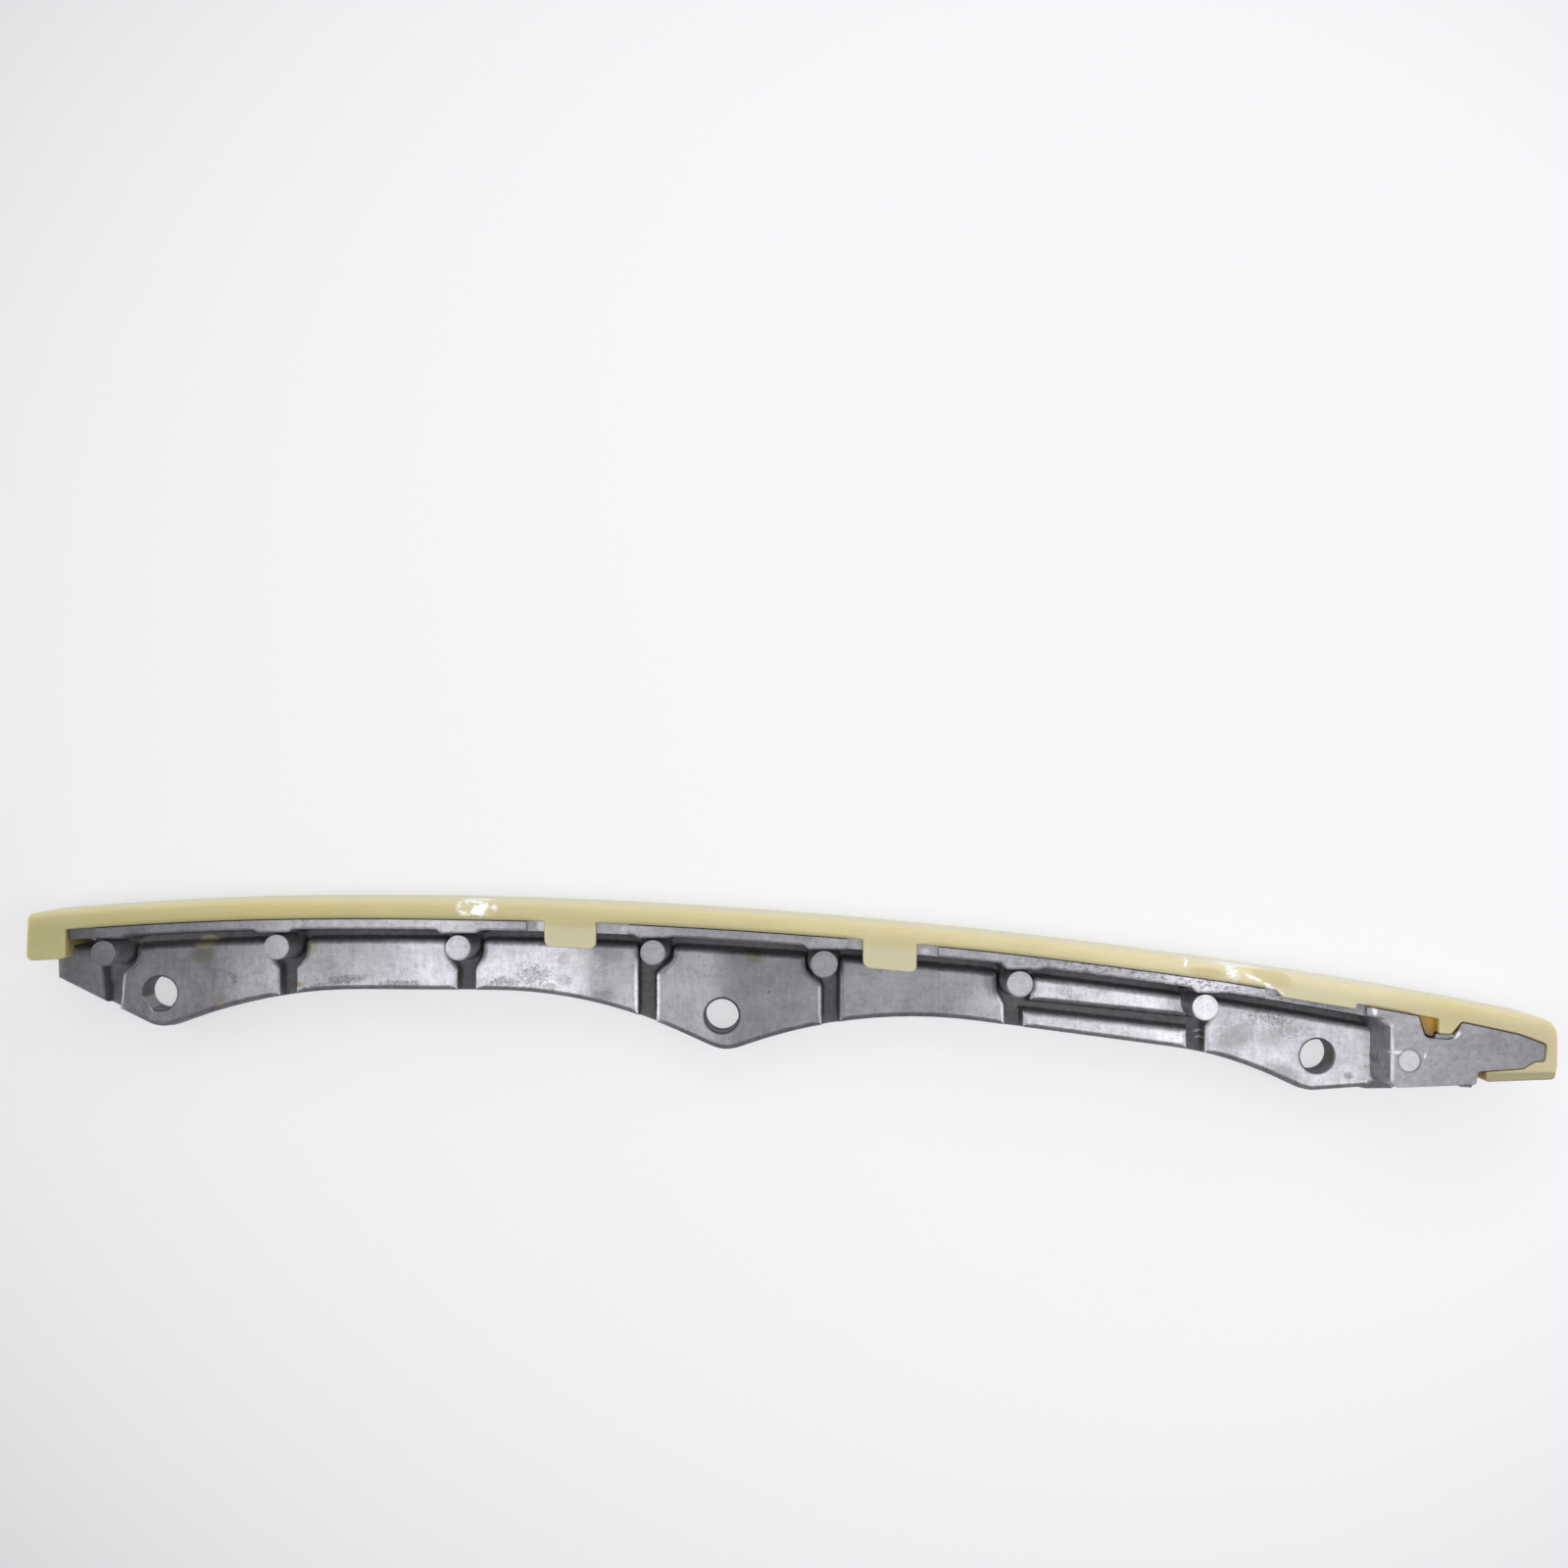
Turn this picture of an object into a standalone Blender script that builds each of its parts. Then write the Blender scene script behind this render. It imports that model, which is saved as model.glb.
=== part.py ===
"""Timing chain guide: a cast bracket with a nylon slipper clipped over its flange.

The guide lies flat on the mounting face of its bracket. X runs along the
guide, Y points to the running face and Z is the depth of the casting.
Sizes are in millimetres and become metres when a mesh is made. Places are
given from one drawing origin above the running face, and the finished
meshes move so that the middle of the underside is the scene's origin.
"""
import math

import bmesh
import bpy
import numpy as np
from mathutils import Matrix, Vector

MM = 0.001

# Running face of the slipper in front view: places a smooth curve passes through
RUNNING_FACE = (
    (-154.4, -26.4),
    (-125.0, -24.4),
    (-83.3, -23.5),
    (-41.7, -24.45),
    (0.0, -26.95),
    (41.7, -30.75),
    (83.3, -35.85),
    (125.0, -42.2),
    (157.8, -48.35),
)
# Thickness of the nylon strip: place along the guide and thickness
STRIP = (
    (-146.0, 3.7),
    (-65.0, 3.75),
    (-30.0, 3.5),
    (40.0, 3.2),
    (90.0, 3.4),
    (122.0, 4.0),
    (140.0, 4.1),
)

# Gap between the nylon and the casting
CLEARANCE = 0.3

# Depths of the casting, counted from its mounting face
FLOOR_Z = 3.4
PANEL_Z = 7.6
FLANGE_BACK_Z = 1.4
FLANGE_FRONT_Z = 17.6
BOSS_Z = 17.35
ROOT_Z = 2.4
BACK_EDGE = 0.25

# Flange that carries the slipper
FLANGE_LEFT = -146.2
FLANGE_THICK = 2.0
FLANGE_DRAFT = 0.8
FLANGE_EDGE = 0.35
CHANNEL = 4.9

# Bosses at the heads of the grooves: x, drop of the centre under the flange top, top radius
BOSSES = (
    (-139.1, 5.35, 2.6),
    (-103.7, 5.65, 2.6),
    (-66.6, 5.75, 2.6),
    (-26.8, 5.5, 2.6),
    (8.2, 5.6, 2.8),
    (48.2, 5.9, 2.7),
    (86.1, 5.75, 2.7),
)
BOSS_DRAFT = 0.6
BOSS_EDGE = 0.3
BOSS_SIDES = 24

# Saddles where the flange thickens over the bosses: reach to the left and to the right
SADDLES = ((1.6, 3.4), (3.6, 2.2), (3.4, 3.4), (2.8, 2.8), (3.2, 3.8), (2.6, 3.8), (1.7, 3.9))
SADDLE_LEVEL = 3.0
SADDLE_RAMP = 1.2
SADDLE_ROUND = 0.8

# Lower outline of the web from left to right: x, y and corner radius
LOWER_OUTLINE = (
    (-152.3, -40.3, 1.2),
    (-130.4, -51.3, 7.0),
    (-107.2, -42.85, 105.0),
    (-40.8, -43.25, 95.0),
    (-12.3, -56.1, 7.5),
    (15.7, -46.3, 105.0),
    (93.0, -56.55, 79.0),
    (109.5, -64.2, 6.0),
    (128.0, -62.9, 0.0),
)
WEB_LEFT_TOP = (-152.1, -33.8)
WEB_UNDER_FLANGE = 1.2

# Raised panels of the web
PANEL_DRAFT = 0.25
PANEL_EDGE = 0.8
LEDGE = 0.06

# Grooves between the panels: x of the left wall and of the right wall
GROOVES = (
    (-142.4, -138.5),
    (-105.5, -102.1),
    (-68.4, -64.6),
    (-30.5, -26.7),
    (7.9, 11.6),
    (46.1, 50.0),
    (84.5, 88.1),
)
FIRST_GROOVE_LEAN = 0.5

# Notches of the panels round the bosses: side reach, and how far the slanted part lies below the boss
NOTCH_SIDE = 3.65
NOTCH_SLANT = (2.3, 5.1)
NOTCH_ROUND = (2.5, 1.5)

# Long slot across the sixth panel: y of its upper and lower wall at the left and at the right
SLOT_PANEL = 6
SLOT_UPPER = (-45.1, -48.6)
SLOT_LOWER = (-47.4, -51.3)

# Bolt holes
HOLES = ((-130.5, -43.8), (-13.0, -48.5), (111.5, -56.9))
HOLE_RADIUS = 3.5
HOLE_BREAK = 0.25
HOLE_SIDES = 36

# End block at the right: its step under the tongue, its width from there to its left face,
# and how far that face leans out towards the mounting face
BLOCK_STEP = (141.9, 141.3)
BLOCK_WIDTH = 18.0
BLOCK_LEFT = BLOCK_STEP[0] - BLOCK_WIDTH
BLOCK_DRAFT = 2.2
BLOCK_ROUND = 1.9
BLOCK_LOWER = (-58.8, -61.45, -62.05, -60.6)
BLOCK_CHAMFER = 1.3
FOOT_INSET = 0.7

# Low ledge at the foot of the end wall: its lower points at the left, x from the block's left face
WALL_FOOT = ((-3.4, -63.45), (-1.9, -63.85))
# Its lower points at the right, x from the left side of the peg's notch, its top and depth
WALL_FOOT_END = ((-2.1, -63.8), (-1.5, -63.1))
WALL_FOOT_TOP = -61.2
WALL_FOOT_Z = 6.9

# Notch for the peg, and the tongue right of it, in front view: x, y and corner radius
PEG_NOTCH_LEFT = 129.6
PEG_NOTCH = ((130.9, -51.8, 1.6), (136.2, -52.2, 1.6))
TONGUE = (
    (138.0, -48.55, 0.8),
    (150.0, -51.1, 6.0),
    (155.6, -53.2, 1.0),
    (155.2, -56.6, 0.5),
    (153.2, -56.7, 0.6),
    (150.9, -58.15, 1.5),
)

# Round mark of an ejector pin on the end block: distance from its left face, y, radius, depth
PIN_MARK = (3.7, -56.5, 2.3, 0.2)

# Clips of the slipper: left end, right end, drop below the flange top
CLIPS = ((-48.9, -38.35, 5.3), (16.1, 27.1, 5.75))
CLIP_THICK = 1.2
CLIP_ROUND = 1.0
CLIP_TAPER = 0.2
BARB_INSET = 0.8
BARB_DEPTH = 1.6
RELIEF_MARGIN = 0.6

# Key lug of the slipper: left end, right end, drop below the strip, length of its slanted end
KEY_LUG = (100.5, 116.9, 1.3, 1.1)

# Shallow pockets in the front of the flange: reach beyond a clip or the lug to the left and right
POCKET_DEPTH = 1.0
CLIP_POCKETS = ((3.7, 6.6), (3.1, 4.5))
LUG_POCKET = (2.3, 2.1)
END_POCKET = 5.4

# Slipper
PROUD = 0.5
SLIPPER_EDGE = 0.3
HOOK_WIDTH = 8.1
SLIPPER_LEFT = FLANGE_LEFT - CLEARANCE - HOOK_WIDTH
SLIPPER_RIGHT = 157.8
HOOK_BOTTOM = -35.8
HOOK_DEPTH = 5.0
HOOK_REAR_BOTTOM = -33.2
TIP_RADIUS = 4.0
ARM_GAP = 1.3
ARM_LEFT = BLOCK_STEP[0] + ARM_GAP
ARM_BOTTOM = (-60.8, -60.3)
PEG = ((133.5, -51.0), (135.7, -51.2))
SMALL_ROUND = 0.5

# Spacing of points along the gentle curves, and how far a cutter reaches past a face
STEP = 5.0
OVER = 1.0


class Curve:
    """A natural cubic spline y(x) through a few points."""

    def __init__(self, points):
        self.x = np.array([point[0] for point in points], float)
        self.y = np.array([point[1] for point in points], float)
        count = len(points)
        width = np.diff(self.x)
        slope = np.diff(self.y) / width
        matrix = np.eye(count)
        change = np.zeros(count)
        for i in range(1, count - 1):
            matrix[i, i - 1:i + 2] = (width[i - 1], 2.0 * (width[i - 1] + width[i]), width[i])
            change[i] = 6.0 * (slope[i] - slope[i - 1])
        self.bend = np.linalg.solve(matrix, change)

    def __call__(self, x):
        i = int(np.clip(np.searchsorted(self.x, x) - 1, 0, len(self.x) - 2))
        width = self.x[i + 1] - self.x[i]
        a = (self.x[i + 1] - x) / width
        b = (x - self.x[i]) / width
        bent = (a ** 3 - a) * self.bend[i] + (b ** 3 - b) * self.bend[i + 1]
        return float(a * self.y[i] + b * self.y[i + 1] + bent * width * width / 6.0)


running_face = Curve(RUNNING_FACE)


def underside(x):
    """Lower face of the nylon strip."""
    places, sizes = zip(*STRIP)
    return running_face(x) - float(np.interp(x, places, sizes))


def seat(x):
    """Top face of the flange, a clearance below the strip."""
    return underside(x) - CLEARANCE


def flange_edge(x):
    """Lower front edge of the flange."""
    return seat(x) - FLANGE_THICK


def panel_top(x):
    """Upper edge of the panels, across the channel from the flange."""
    return seat(x) - CHANNEL


def stations(start, end, step=STEP):
    """Even places from start to end, both included."""
    count = max(1, round(abs(end - start) / step))
    return [start + (end - start) * i / count for i in range(count + 1)]


def along(curve, start, end, drop=0.0):
    """Vertices that follow a curve from start to end, a drop below it."""
    return [(x, curve(x) - drop, 0.0) for x in stations(start, end)]


def arc_steps(radius):
    """How many pieces an arc of this radius gets."""
    if radius > 20.0:
        return 9
    return 4 if radius < 1.4 else 6


def corner(before, at, after, radius):
    """Points of the arc that rounds one corner of an outline."""
    into = (Vector(before) - Vector(at)).normalized()
    out = (Vector(after) - Vector(at)).normalized()
    between = into.angle(out)
    start = Vector(at) + into * (radius / math.tan(between / 2.0))
    middle = Vector(at) + (into + out).normalized() * (radius / math.sin(between / 2.0))
    arm = start - middle
    turn = math.pi - between
    if into.x * out.y - into.y * out.x > 0.0:
        turn = -turn
    steps = arc_steps(radius)
    points = []
    for i in range(steps + 1):
        c, s = math.cos(turn * i / steps), math.sin(turn * i / steps)
        points.append((middle.x + arm.x * c - arm.y * s, middle.y + arm.x * s + arm.y * c))
    return points


def rounded(vertices, closed=True):
    """The outline through vertices (x, y, radius), each corner rounded by its radius."""
    points = []
    count = len(vertices)
    for i, (x, y, radius) in enumerate(vertices):
        if radius <= 0.0 or (not closed and i in (0, count - 1)):
            points.append((x, y))
            continue
        before = vertices[i - 1][:2]
        after = vertices[(i + 1) % count][:2]
        points += corner(before, (x, y), after, radius)
    return points


def shifted(before, at, after, amount):
    """The point moved square to its two neighbours' edges, to the right of the way along them."""
    one = (Vector(at) - Vector(before)).normalized()
    two = (Vector(after) - Vector(at)).normalized()
    normal = Vector((one.y + two.y, -one.x - two.x)).normalized()
    square = max(0.5, normal.dot(Vector((one.y, -one.x))))
    moved = Vector(at) + normal * (amount / square)
    return moved.x, moved.y


def grown(points, amount):
    """The counter-clockwise outline moved outwards by an amount."""
    count = len(points)
    return [shifted(points[i - 1], points[i], points[(i + 1) % count], amount) for i in range(count)]


def finished(name, mesh):
    """Turns a bmesh into an object of the scene."""
    data = bpy.data.meshes.new(name)
    mesh.to_mesh(data)
    mesh.free()
    made = bpy.data.objects.new(name, data)
    bpy.context.scene.collection.objects.link(made)
    return made


def loft(name, low, high, z0, z1, front_edge=0.0, back_edge=0.0):
    """A closed solid between two outlines with as many points, its end faces' edges rounded."""
    mesh = bmesh.new()
    bottom = [mesh.verts.new((x * MM, y * MM, z0 * MM)) for x, y in low]
    top = [mesh.verts.new((x * MM, y * MM, z1 * MM)) for x, y in high]
    mesh.faces.new(bottom)
    mesh.faces.new(top)
    bmesh.ops.bridge_loops(mesh, edges=[e for e in mesh.edges])
    bmesh.ops.recalc_face_normals(mesh, faces=mesh.faces)
    for ring, width in ((top, front_edge), (bottom, back_edge)):
        if width > 0.0:
            members = set(ring)
            edges = [e for e in mesh.edges if set(e.verts) <= members]
            bmesh.ops.bevel(mesh, geom=edges, offset=width * MM, segments=2, profile=0.5, affect="EDGES")
    return finished(name, mesh)


def prism(name, points, z0, z1, front_edge=0.0, back_edge=0.0):
    """A straight solid from one outline."""
    return loft(name, points, points, z0, z1, front_edge, back_edge)


def turned(name, profile, centre, sides):
    """A solid of revolution about a vertical axis, from a profile of (radius, z)."""
    mesh = bmesh.new()
    chain = [mesh.verts.new((radius * MM, 0.0, z * MM)) for radius, z in profile]
    edges = [mesh.edges.new(pair) for pair in zip(chain, chain[1:])]
    bmesh.ops.spin(mesh, geom=chain + edges, axis=(0, 0, 1), angle=2.0 * math.pi, steps=sides, use_merge=True)
    bmesh.ops.remove_doubles(mesh, verts=mesh.verts, dist=1e-7)
    bmesh.ops.recalc_face_normals(mesh, faces=mesh.faces)
    bmesh.ops.translate(mesh, verts=mesh.verts, vec=(centre[0] * MM, centre[1] * MM, 0.0))
    return finished(name, mesh)


def combine(target, tools, operation):
    """Joins the tools to the target, or cuts them from it, and removes them."""
    for tool in tools:
        modifier = target.modifiers.new(operation.lower(), "BOOLEAN")
        modifier.operation = operation
        modifier.solver = "EXACT"
        modifier.object = tool
        graph = bpy.context.evaluated_depsgraph_get()
        graph.update()
        result = bpy.data.meshes.new_from_object(target.evaluated_get(graph))
        target.modifiers.remove(modifier)
        target.data = result
        bpy.data.objects.remove(tool, do_unlink=True)


def boss_centre(index):
    x, drop, _ = BOSSES[index]
    return x, seat(x) - drop


def flange_underside(draft):
    """Lower edge of the flange from right to left, with a saddle over each boss."""
    right = BLOCK_LEFT - BLOCK_DRAFT * draft / FLANGE_DRAFT
    vertices = [(right, flange_edge(right) - draft, BLOCK_ROUND)]
    start = BLOCK_LEFT - BLOCK_DRAFT - BLOCK_ROUND - OVER
    for index in reversed(range(len(BOSSES))):
        x, y = boss_centre(index)
        to_left, to_right = SADDLES[index]
        vertices += along(flange_edge, start, x + to_right + SADDLE_RAMP, draft)
        for end in (x + to_right, x - to_left):
            step = flange_edge(end) - y - SADDLE_LEVEL
            radius = SADDLE_ROUND if step > SMALL_ROUND else 0.0
            vertices.append((end, y + SADDLE_LEVEL - draft, radius))
        start = x - to_left - SADDLE_RAMP
    return vertices + along(flange_edge, start, FLANGE_LEFT, draft)


def block_outline(shift):
    """Lower corners of the end block, from its step under the tongue to its left face."""
    y_step, y_right, y_left, y_chamfer = BLOCK_LOWER
    return [
        (BLOCK_STEP[0], y_step, 0.4),
        (BLOCK_STEP[1], y_right, 1.2),
        (BLOCK_LEFT + BLOCK_CHAMFER - shift, y_left, 1.0),
        (BLOCK_LEFT - shift, y_chamfer, 0.6),
    ]


def frame_outline(draft):
    """Flange, end block and tongue as one outline, wider by the draft at its lower sides."""
    vertices = flange_underside(draft)
    vertices += along(seat, FLANGE_LEFT, PEG_NOTCH_LEFT - 2.0)
    vertices.append((PEG_NOTCH_LEFT, seat(PEG_NOTCH_LEFT), SMALL_ROUND))
    vertices += [*PEG_NOTCH, *TONGUE]
    vertices += block_outline(BLOCK_DRAFT * draft / FLANGE_DRAFT)
    return rounded(vertices[::-1])


def lower_edge(left, right):
    """Points of the web's lower outline between two places."""
    outline = rounded(LOWER_OUTLINE, closed=False)
    xs, ys = zip(*outline)
    inner = [point for point in outline if left + 0.6 < point[0] < right - 0.6]
    for x in stations(left, right)[1:-1]:
        if all(abs(x - point[0]) > STEP / 2.0 for point in inner):
            inner.append((x, float(np.interp(x, xs, ys))))
    ends = [(x, float(np.interp(x, xs, ys))) for x in (left, right)]
    return [ends[0], *sorted(inner), ends[1]]


def panel_side(index, wall, side):
    """Side of a panel beside a boss, from its lower end to its top, notched round the boss."""
    x, y = boss_centre(index)
    reach = x + side * NOTCH_SIDE
    if side * (reach - wall) < SMALL_ROUND:
        return [(wall, panel_top(wall), 0.0)]
    high, low = NOTCH_SLANT
    return [
        (wall, y - low, NOTCH_ROUND[1]),
        (reach, y - high, NOTCH_ROUND[0]),
        (reach, panel_top(reach), 0.0),
    ]


def panel_outline(index):
    """Outline of the panel right of the groove with the index before its own."""
    left = GROOVES[index - 1][1]
    last = index == len(GROOVES)
    right = BLOCK_LEFT - CLEARANCE if last else GROOVES[index][0]
    lean = FIRST_GROOVE_LEAN if index == 1 else 0.0
    vertices = [(x, y, 0.0) for x, y in lower_edge(left - lean, right)]
    vertices += [(right, panel_top(right), 0.0)] if last else panel_side(index, right, -1.0)
    left_side = panel_side(index - 1, left, 1.0)
    vertices += along(panel_top, vertices[-1][0], left_side[-1][0])[1:-1]
    return rounded(vertices + left_side[::-1])


def end_panel_outline():
    """The first panel, left of all the grooves."""
    left, right = LOWER_OUTLINE[0][0], GROOVES[0][0]
    lower = lower_edge(left + 0.4, right + FIRST_GROOVE_LEAN)
    return lower + [(right - FIRST_GROOVE_LEAN, WEB_LEFT_TOP[1]), WEB_LEFT_TOP]


def slotted_outlines():
    """The upper and the lower strip of the panel with the long slot."""
    left, right = GROOVES[SLOT_PANEL - 1][1], GROOVES[SLOT_PANEL][0]
    lower = lower_edge(left, right) + [(right, SLOT_LOWER[1]), (left, SLOT_LOWER[0])]
    middle = (left + right) / 2.0
    upper = []
    for x, y in panel_outline(SLOT_PANEL):
        if y > np.interp(x, (left, right), SLOT_UPPER) + LEDGE:
            upper.append((x, y))
    first = next(i for i, point in enumerate(upper) if point[0] > middle)
    upper = [(left, SLOT_UPPER[0]), (right, SLOT_UPPER[1])] + upper[first:] + upper[:first]
    return [upper, lower]


def panels():
    """The raised panels of the web, each with rounded front edges."""
    whole = [i for i in range(1, len(GROOVES) + 1) if i != SLOT_PANEL]
    outlines = [end_panel_outline(), *map(panel_outline, whole), *slotted_outlines()]
    return [
        loft(f"panel_{i}", grown(outline, PANEL_DRAFT), outline, ROOT_Z, PANEL_Z, PANEL_EDGE)
        for i, outline in enumerate(outlines)
    ]


def web_floor():
    """The floor of the web, which all the grooves share."""
    corner_x = FLANGE_LEFT + OVER
    lower = [point for point in rounded(LOWER_OUTLINE, closed=False) if point[0] < BLOCK_LEFT]
    lower += wall_foot_points()
    upper = [(x, seat(x) - WEB_UNDER_FLANGE) for x in stations(lower[-1][0], corner_x)]
    outline = lower + upper + [(corner_x, WEB_LEFT_TOP[1]), WEB_LEFT_TOP]
    return prism("guide_bracket", grown(outline, PANEL_DRAFT + LEDGE), 0.0, FLOOR_Z, 0.0, BACK_EDGE)


def wall_foot_points():
    """Lower points of the ledge at the foot of the end wall, which ends short of the peg's notch."""
    left = [(BLOCK_LEFT + x, y) for x, y in WALL_FOOT]
    return left + [(PEG_NOTCH_LEFT + x, y) for x, y in WALL_FOOT_END]


def wall_foot():
    """The ledge at the foot of the end wall, from the web's floor to just under the panels' level."""
    lower = wall_foot_points()
    outline = lower + [(lower[-1][0], WALL_FOOT_TOP), (lower[0][0], WALL_FOOT_TOP)]
    return prism("wall_foot", outline, ROOT_Z, WALL_FOOT_Z, SMALL_ROUND)


def frame():
    """Flange, end block and tongue, in one depth."""
    wide, narrow = frame_outline(FLANGE_DRAFT), frame_outline(0.0)
    return loft("frame", wide, narrow, FLANGE_BACK_Z, FLANGE_FRONT_Z, FLANGE_EDGE, BACK_EDGE)


def foot():
    """Foot of the end block, flush with the mounting face."""
    left, right = BLOCK_LEFT + FOOT_INSET, BLOCK_STEP[1] - FOOT_INSET
    notch_y = PEG_NOTCH[1][1] - OVER
    beside = PEG_NOTCH_LEFT - FOOT_INSET
    outline = [
        (beside, seat(beside) - FOOT_INSET),
        (left, seat(left) - FOOT_INSET),
        (left, BLOCK_LOWER[3]),
        (left + BLOCK_CHAMFER, BLOCK_LOWER[2] + BACK_EDGE),
        (right, BLOCK_LOWER[1] + BACK_EDGE),
        (right, notch_y),
        (beside, notch_y),
    ]
    return prism("foot", outline, 0.0, ROOT_Z + OVER)


def bosses():
    """A tapered boss at the head of each groove."""
    made = []
    for index, (_, _, radius) in enumerate(BOSSES):
        profile = [
            (0.0, ROOT_Z),
            (radius + BOSS_DRAFT, ROOT_Z),
            (radius, BOSS_Z - BOSS_EDGE),
            (radius - 0.3 * BOSS_EDGE, BOSS_Z - 0.3 * BOSS_EDGE),
            (radius - BOSS_EDGE, BOSS_Z),
            (0.0, BOSS_Z),
        ]
        made.append(turned(f"boss_{index}", profile, boss_centre(index), BOSS_SIDES))
    return made


def hole_cutters():
    """Bolt holes with a small break at both faces."""
    flare = HOLE_RADIUS + HOLE_BREAK + OVER
    profile = [
        (0.0, -OVER),
        (flare, -OVER),
        (HOLE_RADIUS, HOLE_BREAK),
        (HOLE_RADIUS, PANEL_Z - HOLE_BREAK),
        (flare, PANEL_Z + OVER),
        (0.0, PANEL_Z + OVER),
    ]
    return [turned(f"hole_{i}", profile, at, HOLE_SIDES) for i, at in enumerate(HOLES)]


def band(name, left, right, drop, z0, z1):
    """A cutter that follows the flange from above its top to a drop below it."""
    lower = [(x, seat(x) - drop) for x in stations(left, right)]
    upper = [(x, seat(x) + OVER) for x in stations(right, left)]
    return prism(name, lower + upper, z0, z1)


def pocket_cutters():
    """Shallow pockets for the clips and the lug in the front of the flange."""
    spans = [(FLANGE_LEFT - OVER, FLANGE_LEFT + END_POCKET)]
    spans += [(a - to_left, b + to_right) for (a, b, _), (to_left, to_right) in zip(CLIPS, CLIP_POCKETS)]
    spans.append((KEY_LUG[0] - LUG_POCKET[0], KEY_LUG[1] + LUG_POCKET[1]))
    drop = FLANGE_THICK + FLANGE_EDGE + BOSS_EDGE
    low, high = FLANGE_FRONT_Z - POCKET_DEPTH, FLANGE_FRONT_Z + OVER
    return [band(f"pocket_{i}", left, right, drop, low, high) for i, (left, right) in enumerate(spans)]


def relief_cutters():
    """Reliefs behind the web for the rear halves of the clips."""
    made = []
    for i, (left, right, drop) in enumerate(CLIPS):
        span = left - RELIEF_MARGIN, right + RELIEF_MARGIN
        made.append(band(f"relief_{i}", *span, drop + RELIEF_MARGIN, -OVER, FLANGE_BACK_Z + POCKET_DEPTH))
    return made


def pin_mark_cutter():
    """The round mark that an ejector pin left in the end block."""
    beside, y, radius, depth = PIN_MARK
    low, high = FLANGE_FRONT_Z - depth, FLANGE_FRONT_Z + OVER
    profile = [(0.0, low), (radius, low), (radius + OVER * 0.05, high), (0.0, high)]
    return turned("pin_mark", profile, (BLOCK_LEFT + beside, y), BOSS_SIDES)


def build_bracket():
    """The casting: web, panels, flange with end block and tongue, and bosses."""
    bracket = web_floor()
    combine(bracket, [frame(), foot(), wall_foot(), *panels(), *bosses()], "UNION")
    cutters = [*hole_cutters(), *pocket_cutters(), *relief_cutters(), pin_mark_cutter()]
    combine(bracket, cutters, "DIFFERENCE")
    return bracket


def clip_outline(left, right, drop):
    """The part of the slipper's outline that runs round one clip."""
    return [
        (left, underside(left), 0.25),
        (left, seat(left) - drop + CLIP_TAPER, CLIP_ROUND),
        (right, seat(right) - drop, CLIP_ROUND),
        (right, underside(right), 0.25),
    ]


def lug_outline(left, right, drop, slant):
    """The part of the slipper's outline that runs round the key lug."""
    end = right - CLEARANCE
    return [
        (left, underside(left), 0.2),
        (left + slant, underside(left + slant) - drop, SMALL_ROUND),
        (end, underside(end) - drop + CLIP_TAPER, SMALL_ROUND),
        (right, underside(right), 0.2),
    ]


def around_tongue():
    """Inner side of the right hook, a clearance outside the tongue, down to the arm's end."""
    path = [PEG_NOTCH[-1], *TONGUE, block_outline(0.0)[0]]
    moved = []
    for before, at, after in zip(path, path[1:], path[2:]):
        x, y = shifted(before[:2], at[:2], after[:2], -CLEARANCE)
        moved.append((x, y, at[2] + CLEARANCE / 2.0))
    last, end = moved[-1], path[-1]
    share = (ARM_LEFT - last[0]) / (end[0] - last[0])
    level = last[1] + (end[1] - CLEARANCE - last[1]) * share
    return moved + [(ARM_LEFT, level, SMALL_ROUND)]


def slipper_outline():
    """Front view of the slipper with its clips and its lug, counter-clockwise."""
    inner = FLANGE_LEFT - CLEARANCE
    vertices = [
        (SLIPPER_LEFT, HOOK_BOTTOM - 0.3, 0.7),
        (SLIPPER_LEFT + 6.6, HOOK_BOTTOM, 0.6),
        (inner, HOOK_BOTTOM + 0.4, SMALL_ROUND),
        (inner, underside(inner), 0.4),
    ]
    start = inner + OVER
    for left, right, drop in CLIPS:
        vertices += along(underside, start, left - 0.6)
        vertices += clip_outline(left, right, drop)
        start = right + 0.6
    vertices += along(underside, start, KEY_LUG[0] - 0.6)
    vertices += lug_outline(*KEY_LUG)
    vertices += along(underside, KEY_LUG[1] + 0.6, PEG_NOTCH_LEFT - OVER)
    vertices.append((PEG[0][0], underside(PEG[0][0]), SMALL_ROUND))
    vertices += [(x, y, SMALL_ROUND) for x, y in PEG]
    vertices += around_tongue()
    vertices += [
        (ARM_LEFT, ARM_BOTTOM[0], SMALL_ROUND),
        (SLIPPER_RIGHT - 0.6, ARM_BOTTOM[1], 1.0),
        (SLIPPER_RIGHT, ARM_BOTTOM[1] + 3.0, 0.0),
        (SLIPPER_RIGHT, running_face(SLIPPER_RIGHT), TIP_RADIUS),
    ]
    vertices += along(running_face, SLIPPER_RIGHT - TIP_RADIUS - 3.0, SLIPPER_LEFT + 2.5)
    vertices.append((SLIPPER_LEFT + 0.4, running_face(SLIPPER_LEFT + 0.4), 0.8))
    return rounded(vertices)


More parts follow.
